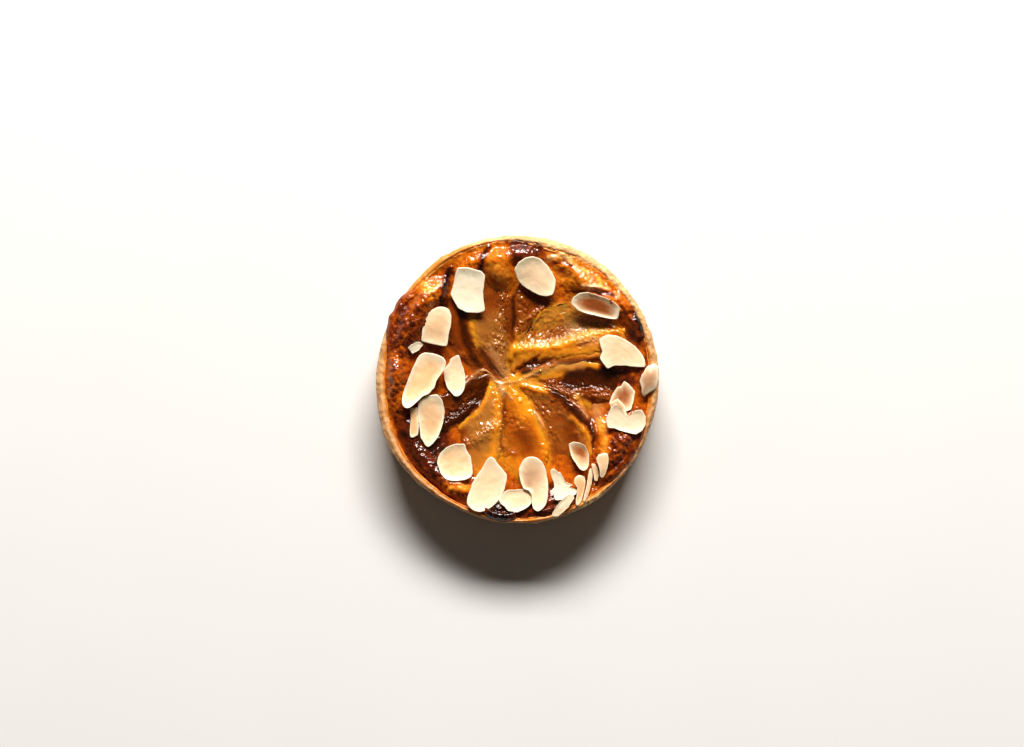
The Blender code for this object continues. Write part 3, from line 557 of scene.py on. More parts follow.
def round_the_rim(values, angles):
    """Values known at equal steps round the tart, read at any angles by straight interpolation."""
    place = np.arange(len(values) + 1) / len(values) * TURN
    return np.interp(np.asarray(angles) % TURN, place, np.append(values, values[0]))


def blurred(height_map, spread):
    """A square map blurred by a bell curve of that many cells, by way of its Fourier transform."""
    wave = np.fft.fftfreq(len(height_map))
    keep = np.exp(-2 * (math.pi * spread) ** 2 * (wave[:, None] ** 2 + wave[None, :] ** 2))
    return np.fft.ifft2(np.fft.fft2(height_map) * keep).real


def near_line(x, y, line, width):
    """How near points of the plan are to a line of straight pieces, exp(-(distance / width)^2)."""
    nearest = np.full(x.shape, 1e6)
    for start, end in zip(np.array(line[:-1]), np.array(line[1:])):
        way = end - start
        from_start = (x - start[0], y - start[1])
        share = np.clip((from_start[0] * way[0] + from_start[1] * way[1]) / (way @ way), 0, 1)
        gap_x, gap_y = from_start[0] - share * way[0], from_start[1] - share * way[1]
        nearest = np.minimum(nearest, gap_x ** 2 + gap_y ** 2)
    return np.exp(-nearest / width ** 2)


def marks_on(pieces, x, y):
    """The lift and the masks that the marks of some pieces give points of the plan. The marks' edges wander,
    because the points are first moved by soft noise."""
    flat = points_at(x, y)
    x = x + MARK_WANDER * layered(flat, MARK_WANDER_SIZE, 17, 3)
    y = y + MARK_WANDER * layered(flat, MARK_WANDER_SIZE, 24, 3)
    lift, masks = np.zeros_like(x), {}
    for piece in pieces:
        for mask, amount, rise, width, line in MARKS.get(piece, ()):
            near = near_line(x, y, line, width)
            lift = lift + rise * near
            masks[mask] = masks.get(mask, 0) + amount * near
    return lift, masks


def outward(rings):
    """Unit normals of rings of points, which close on themselves: the cross product of the steps along
    and round them."""
    along = np.gradient(rings, axis=0)
    around = np.roll(rings, -1, axis=1) - np.roll(rings, 1, axis=1)
    normal = np.cross(around, along)
    return normal / np.maximum(np.linalg.norm(normal, axis=-1, keepdims=True), 1e-12)


# ---------------------------------------------------------------------------------------------------------
# Meshes


def skin(name, rings, start, end, masks):
    """A closed piece: rings of points in millimetres, (rows, points round a row, 3), joined row to row by
    quads, with a fan of triangles to a pole at each end. Each mask is painted on as an attribute."""
    rows, around = rings.shape[:2]
    points = np.concatenate((rings.reshape(-1, 3), [start, end])) * MM
    index = np.arange(rows * around).reshape(rows, around)
    beside = np.roll(index, -1, axis=1)
    quads = np.stack((index[:-1], beside[:-1], beside[1:], index[1:]), axis=-1).reshape(-1, 4)
    first = np.stack((beside[0], index[0], np.full(around, rows * around)), axis=-1)
    last = np.stack((index[-1], beside[-1], np.full(around, rows * around + 1)), axis=-1)
    fans = np.concatenate((first, last))
    corners = [points[quads[:, i]] for i in (0, 1, 2)]
    if np.einsum("ij,ij->", corners[0], np.cross(corners[1], corners[2])) < 0:
        quads, fans = quads[:, ::-1], fans[:, ::-1]
    mesh = bpy.data.meshes.new(name)
    mesh.vertices.add(len(points))
    mesh.vertices.foreach_set("co", points.ravel())
    mesh.loops.add(quads.size + fans.size)
    mesh.loops.foreach_set("vertex_index", np.concatenate((quads.ravel(), fans.ravel())))
    mesh.polygons.add(len(quads) + len(fans))
    starts = np.concatenate((np.arange(len(quads)) * 4, quads.size + np.arange(len(fans)) * 3))
    mesh.polygons.foreach_set("loop_start", starts)
    mesh.update(calc_edges=True)
    mesh.validate()
    mesh.shade_smooth()
    for mask, values in masks.items():
        values = np.broadcast_to(values, (rows, around))
        painted = np.concatenate((values.ravel(), [values[0].mean(), values[-1].mean()]))
        mesh.attributes.new(mask, "FLOAT", "POINT").data.foreach_set("value", painted.astype(np.float32))
    return mesh


def put_on(name, mesh, material, slot, *nodes):
    """Puts a finished mesh on the tart in place of some of the model's nodes."""
    piece = bpy.data.objects.new(name, mesh)
    bpy.context.scene.collection.objects.link(piece)
    mesh.materials.append(material)
    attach(piece, BODY)
    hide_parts(*nodes)


def corners_of(node):
    """The distinct points of a model node, in millimetres."""
    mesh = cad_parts[node].data
    points = np.empty(len(mesh.vertices) * 3)
    mesh.vertices.foreach_get("co", points)
    return np.unique((points.reshape(-1, 3) / MM).round(3), axis=0)


# ---------------------------------------------------------------------------------------------------------
# The lie of the tart: where the shell's wall, the filling's top and the slices' tops are


class ShellSizes:
    """The model shell's outer radius, inner radius and rim height at equal steps round it, in millimetres."""

    # The model's steps round the shell, and the share of its height over which the inner wall is looked for.
    steps, upper_part = 90, 0.6

    def __init__(self):
        steps = self.steps
        points = corners_of(SHELL)
        reach = np.hypot(points[:, 0], points[:, 1])
        step = np.round(np.arctan2(points[:, 1], points[:, 0]) / TURN * steps).astype(int) % steps
        upper = points[:, 2] > self.upper_part * points[:, 2].max()
        self.outer, self.inner, self.top = np.zeros(steps), np.full(steps, 1e3), np.zeros(steps)
        np.maximum.at(self.outer, step, reach)
        np.minimum.at(self.inner, step[upper], reach[upper])
        np.maximum.at(self.top, step, points[:, 2])


RIM = ShellSizes()


def dome_share(dome, x, y):
    """How much of a dome's rise there is at a point: exp(-(u^2 + v^2)^shoulder), where u and v are the
    distances from its middle along and across it, as shares of half its size."""
    turn = math.radians(dome.angle)
    outwards = x * math.cos(turn) + y * math.sin(turn) - dome.radius
    sideways = y * math.cos(turn) - x * math.sin(turn)
    u, v = 2 * outwards / dome.across, 2 * sideways / dome.around_rim
    return np.exp(-(u ** 2 + v ** 2) ** DOME_SHOULDER)


def filling_top(x, y):
    """The height of the filling's top: a shallow dish by share of the radius, with the domes on it."""
    reach, angle = np.hypot(x, y), np.arctan2(y, x)
    share = reach / round_the_rim(RIM.inner, angle)
    shares, heights = zip(*FILLING_RISE)
    rounded = 1 - (1 - DOME_AT_SHELL) * ease(0.9, 1.04, share)
    return np.interp(share, shares, heights) + rounded * sum(d.rise * dome_share(d, x, y) for d in DOMES)


def slice_breadth(slice_, share):
    """Half a slice's width at a share of its length, (1 - (2p - 1)^2)^k with p the share bent so that the
    widest place is at the swell: a drop outline, blunt at the outer end."""
    place = np.clip(share, 0, 1) ** (math.log(0.5) / math.log(slice_.swell))
    return 0.5 * slice_.width * np.maximum(1 - (2 * place - 1) ** 2, 0) ** TIP_POINTEDNESS


def slice_lines(slice_):
    """A slice's length, the direction from tip to end and the direction to the left of it."""
    way = np.subtract(slice_.end, slice_.tip)
    length = np.hypot(*way)
    ahead = way / length
    return length, ahead, np.array((-ahead[1], ahead[0]))


def slice_height(slice_, share, across, up):
    """The height on a slice's section at across (-1 to 1, thick edge at 1) and up (-1 to 1)."""
    fullness = 2 * slice_breadth(slice_, share) / slice_.width
    middle = slice_.tip_top + (slice_.end_top - slice_.tip_top) * share - 0.5 * slice_.thickness
    thickness = slice_.thickness * (THIN_EDGE_SHARE + (1 - THIN_EDGE_SHARE) * (across + 1) / 2)
    curl = (0.5 * slice_.roll * across + slice_.cup * across ** 2) * fullness
    return middle + curl + 0.5 * thickness * np.sqrt(fullness) * up


def slice_top(slice_, x, y):
    """The height of a slice's top over the plan, and well below everything outside its outline."""
    length, ahead, left = slice_lines(slice_)
    rel_x, rel_y = x - slice_.tip[0], y - slice_.tip[1]
    share = (rel_x * ahead[0] + rel_y * ahead[1]) / length
    aside = rel_x * left[0] + rel_y * left[1] - slice_.bow * 4 * share * (1 - share)
    across = slice_.side * aside / np.maximum(slice_breadth(slice_, share), 1e-6)
    inside = (np.abs(across) < 1) & (share > 0) & (share < 1)
    across = np.clip(across, -1, 1)
    return np.where(inside, slice_height(slice_, share, across, np.sqrt(1 - across ** 2)), 0.0)


class Lie:
    """Maps of the whole top on a square grid. Top is its height, and smooth the same, blurred, so that what
    stands proud of its surroundings and what lies in a hollow can be told from the difference. Cover is the
    share of the surroundings that the slices cover, pears is their mean height there, and dark and syrup are
    their mean colours; dark carries the painted shade that some slices hold."""

    # The grid's pitch and half its width, how far the heights are blurred, and how far surroundings reach.
    pitch, half, spread, reach = 0.4, 52.0, 2.2, 2.6

    def __init__(self):
        line = np.arange(-self.half, self.half + self.pitch / 2, self.pitch)
        y, x = np.meshgrid(line, line, indexing="ij")
        tops = np.array([slice_top(s, x, y) for s in PEARS])
        pears, owner = tops.max(axis=0), tops.argmax(axis=0)
        there = 1.0 * (pears > 0)
        self.last = len(line) - 1.001
        self.top = np.maximum(pears, filling_top(x, y))
        self.smooth = blurred(self.top, self.spread / self.pitch)
        cells = self.reach / self.pitch
        self.cover = np.clip(blurred(there, cells), 0, 1)
        covered = np.maximum(self.cover, 0.05)
        self.pears = blurred(pears, cells) / covered
        for colour in ("dark", "syrup"):
            known = np.array([getattr(s, colour) for s in PEARS])[owner] * there
            setattr(self, colour, blurred(known, cells) / covered)

    def read(self, name, x, y):
        """One of the maps at any points, blended from the four grid points round each."""
        heights = getattr(self, name)
        column = np.clip((x + self.half) / self.pitch, 0, self.last)
        row = np.clip((y + self.half) / self.pitch, 0, self.last)
        i, j = row.astype(int), column.astype(int)
        u, v = row - i, column - j
        low = heights[i, j] * (1 - v) + heights[i, j + 1] * v
        high = heights[i + 1, j] * (1 - v) + heights[i + 1, j + 1] * v
        return low * (1 - u) + high * u


LIE = Lie()
# How far below its surroundings the bottom of a deep hollow lies, where the painted shade of hollows is full.
DEEP_HOLLOW = 1.4


def stewed(syrup, dark, hollow, marks):
    """The masks of the pears' colour, from a slice's own, how deep in a hollow a point lies, and the marks.
    Hollows are darker, partly for the deeper syrup in them and partly as painted shade, and amber and plain
    flesh less dark."""
    amber, flesh = marks.get("amber", 0), marks.get("flesh", 0)
    masks = {mask: marks.get(mask, 0) for mask in ("amber", "pale", "burnt", "beads")}
    masks["syrup"] = syrup - flesh
    # Painted shade: the hollow's depth adds to the dark mask, along with the syrup that lies deeper there.
    masks["dark"] = dark * (1 - 0.5 * flesh) + 0.6 * hollow + marks.get("dark", 0) - 0.8 * amber
    return masks


def hollow_at(x, y, z):
    """How deep a point lies below its surroundings, from 0 to 1 in a deep hollow: the strength of the painted
    shade in hollows.
    """
    return ease(0.0, DEEP_HOLLOW, LIE.read("smooth", x, y) - z)


def rim_look(name, angles):
    """One of the rim's looks at any angles."""
    return round_the_rim([getattr(look, name) for look in RIM_LOOKS], angles)


# ---------------------------------------------------------------------------------------------------------
# Materials


class Wire:
    """An output socket of a material's nodes. An expression on wires and numbers adds the Math nodes that
    it needs, and every other node comes from add()."""

    def __init__(self, tree, socket=None):
        self.tree, self.socket = tree, socket

    def add(self, kind, settings=None, inputs=None, output=0):
        """A node of a type, with its settings, then the values or wires of its sockets."""
        made = self.tree.nodes.new("ShaderNode" + kind)
        for name, value in (settings or {}).items():
            if name == "stops":
                ramp = made.color_ramp.elements
                while len(ramp) < len(value):
                    ramp.new(0.5)
                for stop, (position, colour) in zip(ramp, value):
                    stop.position, stop.color = position, (*colour, 1)
            else:
                setattr(made, name, value)
        for name, value in (inputs or {}).items():
            if isinstance(value, Wire):
                self.tree.links.new(value.socket, made.inputs[name])
            else:
                made.inputs[name].default_value = value
        return Wire(self.tree, made.outputs[output])

    def math(self, operation, *values):
        """A Math node on values or wires."""
        return self.add("Math", {"operation": operation}, dict(enumerate(values)))

    def __add__(self, other):
        return self.math("ADD", self, other)

    def __sub__(self, other):
        return self.math("SUBTRACT", self, other)

    def __rsub__(self, other):
        return self.math("SUBTRACT", other, self)

    def __mul__(self, other):
        return self.math("MULTIPLY", self, other)

    __radd__, __rmul__ = __add__, __mul__

    def clamped(self):
        """Held between 0 and 1."""
        return self.math("MAXIMUM", self.math("MINIMUM", self, 1.0), 0.0)

    def mottled(self, *noises):
        """Made uneven by noises, each given as (how much, noise), and held between 0 and 1."""
        return sum((amount * (noise - 0.5) for amount, noise in noises), self).clamped()

    def ease(self, low, high):
        """0 below low, 1 above high, smooth between."""
        settings = {"interpolation_type": "SMOOTHSTEP"}
        return self.add("MapRange", settings, {"Value": self, "From Min": low, "From Max": high})

    def mix(self, first, second):
        """Between two colours, by this wire."""
        colours = [value if isinstance(value, Wire) else (*value, 1) for value in (first, second)]
        settings = {"data_type": "RGBA", "clamp_factor": True}
        return self.add("Mix", settings, {0: self, 6: colours[0], 7: colours[1]}, output=2)

    def mask(self, name):
        """A mask that was painted on the mesh."""
        return self.add("Attribute", {"attribute_name": name}, output="Fac")

    def noise(self, size, detail):
        """Noise with features of that size in millimetres, about 0 to 1, in Object coordinates."""
        place = self.add("TexCoord", output="Object")
        return self.add("TexNoise", inputs={"Vector": place, "Scale": 1 / (size * MM), "Detail": detail})

    def bump(self, depth, strength):
        """A normal that follows this wire as relief, to that depth in millimetres."""
        return self.add("Bump", inputs={"Height": self, "Strength": strength, "Distance": depth * MM})


def finish(name, surface):
    """A material, made once, whose Principled shader takes its sockets from surface(wire), a dictionary."""
    material = bpy.data.materials.get(name)
    if material:
        return material
    material = bpy.data.materials.new(name)
    material.use_nodes = True
    tree = material.node_tree
    shader = tree.nodes["Principled BSDF"]
    for socket, value in surface(Wire(tree)).items():
        if isinstance(value, Wire):
            tree.links.new(value.socket, shader.inputs[socket])
        else:
            shader.inputs[socket].default_value = value
    return material


def soaked_in(weight, colour, depth):
    """The sockets for light that soaks into a surface: how much does, in what colour, and how many
    millimetres deep."""
    return {"Subsurface Weight": weight, "Subsurface Radius": colour, "Subsurface Scale": depth * MM}


def glazed(colour, roughness, height, sockets):
    """The sockets of a wet, bright glaze over a colour and a fine relief."""
    return {
        "Base Color": colour,
        "Roughness": roughness,
        "Normal": height.bump(0.20, 0.9),
        "Specular IOR Level": 0.65,
        **sockets,
    }


def pastry_surface(wire):
    """Sandy baked pastry: pale to golden to brown by the bake mask and fine mottling, and orange and shiny
    under the glaze mask."""
    look = bpy.context.scene.tart_pastry
    mottle = wire.noise(2.4, 4.0)
    speck = wire.noise(0.45, 2.0)
    glaze = wire.mask("glaze")
    bake = wire.mask("bake").mottled((0.45, mottle), (0.30, speck))
    colour = bake.ease(0.05, 0.5).mix(look.pale, look.golden)
    colour = bake.ease(0.5, 1.0).mix(colour, look.browned)
    colour = (glaze * (0.75 + 0.5 * (mottle - 0.5))).mix(colour, look.glazed)
    height = speck + 0.6 * wire.noise(0.2, 1.0)
    return {
        "Base Color": colour,
        "Roughness": 0.60 - 0.38 * glaze,
        "Normal": height.bump(0.10, 0.7),
        **soaked_in(0.25, (1.0, 0.45, 0.2), 1.0),
    }


def pear_colour(wire):
    """Stewed to syrup-orange by the syrup mask, bright by the amber mask, in part a painted glow of light
    through thin flesh and on ridges that face the light, toffee and then caramel by the dark mask, which
    holds browning and painted shade, with dry fibres and painted highlights by the pale mask."""
    look = bpy.context.scene.tart_pears
    cloud = wire.noise(4.0, 3.0)
    speck = wire.noise(0.8, 2.0)
    pale = wire.mask("pale")
    colour = wire.mask("syrup").mottled((0.5, cloud)).mix(look.flesh, look.syrup)
    colour = (wire.mask("amber") * (0.85 + 0.5 * (cloud - 0.5))).clamped().mix(colour, look.amber)
    dark = wire.mask("dark").mottled((0.35, cloud), (0.25, speck))
    colour = dark.ease(0.0, 0.6).mix(colour, look.toffee)
    colour = dark.ease(0.5, 1.0).mix(colour, look.caramel)
    return pale.mottled((0.4 * pale, speck)).mix(colour, look.pale)


def filling_surface(wire):
    """Glazed, blistered almond cream: golden, orange, red-brown and burnt by the bake mask, dry and pale by
    the dry mask, and the colour of the slices by the cover mask, between them."""
    look = bpy.context.scene.tart_filling
    mottle = wire.noise(1.7, 4.0)
    speck = wire.noise(0.5, 1.0)
    dry = wire.mask("dry")
    bake = wire.mask("bake").mottled((0.40, mottle), (0.26, speck))
    stops = ((0.05, look.golden), (0.34, look.orange), (0.66, look.brown), (0.98, look.burnt))
    colour = wire.add("ValToRGB", {"stops": stops}, {"Fac": bake})
    colour = dry.mottled((0.5 * dry, speck)).mix(colour, look.pale)
    colour = wire.mask("cover").mix(colour, pear_colour(wire))
    colour = wire.mask("burnt").clamped().mix(colour, look.burnt)
    height = (0.5 * speck + 0.7 * wire.noise(1.0, 1.0)) * (0.7 + 0.6 * wire.mask("rough"))
    return glazed(colour, 0.08 + 0.16 * mottle, height, soaked_in(0.5, (1.0, 0.3, 0.05), 1.8))


def pear_surface(wire):
    """Wet see-through flesh, with blackened skin by the burnt mask."""
    mottle = wire.noise(4.0, 3.0)
    colour = wire.mask("burnt").clamped().mix(pear_colour(wire), bpy.context.scene.tart_filling.burnt)
    fine = wire.noise(0.5, 1.0) * (0.3 + 1.1 * wire.mask("beads"))
    height = fine + 0.3 * wire.noise(1.6, 2.0)
    return glazed(colour, 0.10 + 0.16 * mottle, height, soaked_in(0.8, (1.0, 0.35, 0.06), 2.6))


def almond_surface(wire):
    """Satin nut flesh, warmer at the heart and paler at the brim, with faint grain, and dark with syrup where
    it is soaked."""
    look = bpy.context.scene.tart_almonds
    grain = wire.noise(1.4, 3.0)
    speck = wire.noise(0.35, 1.0)
    heart = wire.mask("heart").mottled((0.4, grain))
    colour = heart.ease(0.1, 0.95).mix(look.edge, look.heart)
    colour = wire.mask("brim").mix(colour, look.brim)
    syrup = wire.mask("soaked")
    soaked = syrup.mottled((0.3 * syrup, grain))
    colour = soaked.mix(colour, look.soaked)
    return {
        "Base Color": colour,
        "Roughness": 0.45 + 0.12 * speck - 0.25 * soaked,
        "Normal": (grain + 0.4 * speck).bump(0.08, 0.5),
        **soaked_in(0.3, (1.0, 0.6, 0.35), 0.8),
    }


def floor_surface(wire):
    """A pale matt floor with the faintest mottling."""
    look = bpy.context.scene.tart_stage
    shade = [channel * 0.97 for channel in look.floor]
    return {"Base Color": wire.noise(60.0, 2.0).mix(look.floor, shade), "Roughness": 0.6}


# ---------------------------------------------------------------------------------------------------------
# Pieces


class TART_OT_shell(bpy.types.Operator):
    """Make the shortcrust shell"""

    bl_idname = "tart.shell"
    bl_label = "Pastry shell"

    # Points round the shell, and the rows in each span of its section.
    around = 760
    rows = (6, 5, 4, 13, 17, 14, 6, 7, 7, 8, 14, 4)
    # The wall from the underside up, as (distance inside the shell's radius, height).
    wall = ((14.0, 0.0), (2.6, 0.0), (1.1, 0.4), (0.45, 1.6), (0.15, 6.0), (0.0, 12.0))
    floor, fillet = 3.0, 2.4
    # How baked the wall is, how much more the foot is, and how high the foot reaches.
    wall_bake, foot_bake, foot_height = 0.42, 0.25, 6
    # How thick, in metres, the glaze lies on the rim.
    glaze_thickness = 0.0001

    def execute(self, context):
        """The section is a smooth curve up the wall, over the rim and down to the floor inside. It is carried
        round with the model's radii and rim heights, and the relief stands on it along its normals."""
        look = context.scene.tart_pastry
        angles = once_round(self.around)
        outer, inner, top = (round_the_rim(v, angles) for v in (RIM.outer, RIM.inner, RIM.top))
        profile = [(outer - inset, 0 * outer + height) for inset, height in self.wall]
        profile += [(outer - share * (outer - inner), top - drop) for share, drop in RIM_PROFILE]
        inside = ((0.0, self.floor + self.fillet), (self.fillet, self.floor))
        profile += [(inner - inset, 0 * inner + height) for inset, height in inside]
        reach, height = np.moveaxis(curve_through(np.array(profile), self.rows), 1, 0)
        rings = points_round(reach, angles, height)
        ridge = ease(4.5, 0.8, top - height)
        from_inside = (reach - inner) / (outer - inner) + 0.22 * layered(rings, 4.0, 5, 3)
        glazed = ease(0.12, -0.12, from_inside - rim_look("glaze", angles)) * ridge
        crumb = rim_look("crumb", angles) * ridge * (1 - glazed) + 0.05
        holes = ease(0.45, 0.95, pebbles(rings, 1.1, 15)) * ease(-0.3, 0.5, ripple(rings, 3.5, 13))
        pits = 0.8 * layered(rings, 1.3, 11, 2) - holes
        relief = look.lumps * layered(rings, 5.0, 3) * (0.2 + 0.8 * ridge) + look.crumb * crumb * pits
        relief = relief + look.grain * layered(rings, 1.2, 19, 2) + self.glaze_thickness * glazed
        rings = rings + outward(rings) * (relief / MM * ease(0.3, 2.0, height))[..., None]
        rings[..., 2] = np.maximum(rings[..., 2], 0)
        bake = rim_look("bake", angles) * (0.35 + 0.65 * ridge) + self.wall_bake * (1 - ridge)
        bake = bake + 0.12 * layered(rings, 9.0, 21, 3) - 0.15 * crumb * pits
        bake = bake + self.foot_bake * ease(self.foot_height, 0, height)
        masks = {"bake": bake, "glaze": glazed}
        mesh = skin(SHELL + "_baked", rings, (0, 0, 0), (0, 0, self.floor), masks)
        put_on("baked_shell", mesh, finish("baked shortcrust", pastry_surface), "shortcrust", SHELL)
        return {"FINISHED"}


class TART_OT_filling(bpy.types.Operator):
    """Make the baked almond cream with its browned domes"""

    bl_idname = "tart.filling"
    bl_label = "Almond filling"

    # Points round the filling, and the grid's rows from the middle out to a share of the radius and from
    # there to the edge.
    around = 800
    inner_rows, inner_share, outer_rows = 40, 0.5, 78
    # The rows that close it below, as (share of the radius, height), and how baked it is there.
    below, bake_below = ((1.0, 12.0), (1.0, 5.4), (0.95, 3.1)), 0.3
    # How deep the syrup between the slices lies, and how deep the crack is where the filling has shrunk.
    syrup_depth, crack_depth = 0.45, 1.7
    # How high the filling stands on the rim where it runs over, and how far its lip hangs below the rim.
    lip_height, lip_drop = 1.5, 0.4

    def execute(self, context):
        """The top is a height over a polar grid: the dish with its domes, roughened by noise and pebbled on
        the domes, then the syrup between the slices, the crack at the shell, the lip that runs over the rim,
        the marks and the beads, one after the other."""
        look = context.scene.tart_filling
        angles = once_round(self.around)
        inner, outer, rim = (round_the_rim(v, angles) for v in (RIM.inner, RIM.outer, RIM.top))
        spill = self.spill(angles)
        creep = 0.3 * ease(1.6, 0.2, rim_look("drop", angles))
        meets = rim - np.interp(1 - creep, *zip(*RIM_PROFILE)) - 0.1
        edge = inner + np.maximum(spill + 0.15, creep * (outer - inner))
        shares = np.linspace(0, self.inner_share, self.inner_rows, endpoint=False)[1:]
        shares = np.concatenate((shares, np.linspace(self.inner_share, 1, self.outer_rows)))[:, None]
        flat = points_round(shares * edge, angles)
        x, y = flat[..., 0], flat[..., 1]
        rough, bake, dome = self.blends(x, y)
        own, slices = filling_top(x, y), LIE.read("pears", x, y)
        lift, marks = marks_on((FILLING, "top"), x, y)
        cover = ease(0.2, 0.5, LIE.read("cover", x, y))
        cover = cover * ease(0.0, 1.0, slices - own - np.maximum(lift - 1, 0))
        blisters = 0.5 * (pebbles(flat, 1.6, 31) - 0.4) + 0.6 * (pebbles(flat, 1.1, 37) - 0.4)
        patches = ease(-0.8, 0.2, layered(flat, 5.0, 39, 2))
        z = own + 0.35 * layered(flat, 6.0, 41, 3) * (0.4 + 0.8 * dome)
        z = z + 0.30 * rough * layered(flat, 2.8, 45, 2) * dome
        z = z + ease(0.88, 1.0, shares) * (np.maximum(z, meets) - z)
        z = z + look.blisters / MM * rough * blisters * patches * (1 - cover)
        syrup = np.maximum(slices - self.syrup_depth, z)
        syrup = syrup + 0.3 * layered(flat, 5.5, 55, 3) + 0.12 * (pebbles(flat, 1.0, 59) - 0.4)
        z = z + cover * (syrup - z)
        gap = rim_look("gap", angles)
        crack = np.exp(-((inner - shares * edge - 0.3) / (0.35 + 0.75 * gap)) ** 2) * ease(0.1, 0.7, gap)
        z = z - self.crack_depth * crack * (0.8 + 0.4 * ripple(flat, 3.0, 43))
        over = ease(0.1, 0.5, spill)
        outmost = np.clip((shares - 0.93) / 0.07, 0, 1)
        bulge = self.lip_height * np.sqrt(1 - outmost ** 2) * (1 + 0.3 * blisters)
        lip = np.maximum(z, rim - 0.25 + bulge)
        lip = lip + outmost ** 6 * (rim - self.lip_drop - lip)
        z = z + over * ease(0, 0.25, outmost) * (lip - z)
        between, pear_marks = marks_on(("top", "pears", "syrup", *(s.name for s in PEARS)), x, y)
        z = z + lift * (1 - cover) + between * cover
        beaded = cover * pear_marks.get("beads", 0) + (1 - cover) * marks.get("beads", 0)
        beading = beads(flat, 1.0, 63) * beaded + beads(flat, 1.5, 64) * (0.1 + 0.7 * rough * dome)
        z = z + context.scene.tart_pears.beads / MM * beading
        bake = bake + 0.16 * layered(flat, 3.0, 51, 3) + 0.30 * ease(0.2, 0.9, dome) * rough * blisters
        bake = bake + marks.get("bake", 0) - 0.35 * crack
        dry = marks.get("dry", 0) * (1 - cover)
        masks = {"bake": bake, "dry": dry, "cover": cover, "rough": rough * dome}
        # The stewed masks darken the syrup in hollows between the slices with painted shade.
        masks.update(stewed(LIE.read("syrup", x, y), LIE.read("dark", x, y), hollow_at(x, y, z), pear_marks))
        lower = [points_round(share * inner, angles, height) for share, height in self.below]
        plain = np.full((len(lower), self.around), self.bake_below)
        masks = {name: np.concatenate((mask, plain)) for name, mask in masks.items()}
        rings = np.concatenate((points_at(x, y, z), lower))
        mesh = skin(FILLING + "_baked", rings, (0, 0, z[0].mean()), (0, 0, self.below[-1][1]), masks)
        material = finish("glazed almond cream", filling_surface)
        put_on("baked_filling", mesh, material, "baked_filling", FILLING)
        return {"FINISHED"}

    def spill(self, angles):
        """How far the filling leans out over the rim: each dome's spill, falling off along the rim."""
        reach = np.zeros_like(angles)
        for dome in DOMES:
            turned = angles - math.radians(dome.angle)
            away = 2 * dome.radius * np.sin(turned) / dome.around_rim
            reach = np.maximum(reach, dome.spill * np.exp(-np.abs(away) ** 3.2) * (np.cos(turned) > 0))
        return reach * (1 + 0.25 * ripple(points_round(1, angles), 0.06, 47))

    def blends(self, x, y):
        """Roughness, bake and height share of the domes at points, blended by how near each dome is."""
        near = [dome_share(d, x, y) ** 0.5 for d in DOMES]
        total = sum(near) + PLAIN_WEIGHT
        rough = (sum(n * d.rough for n, d in zip(near, DOMES)) + PLAIN_WEIGHT * PLAIN_ROUGH) / total
        bake = (sum(n * d.bake for n, d in zip(near, DOMES)) + PLAIN_WEIGHT * PLAIN_BAKE) / total
        return rough, bake, np.clip(sum(near), 0, 1)


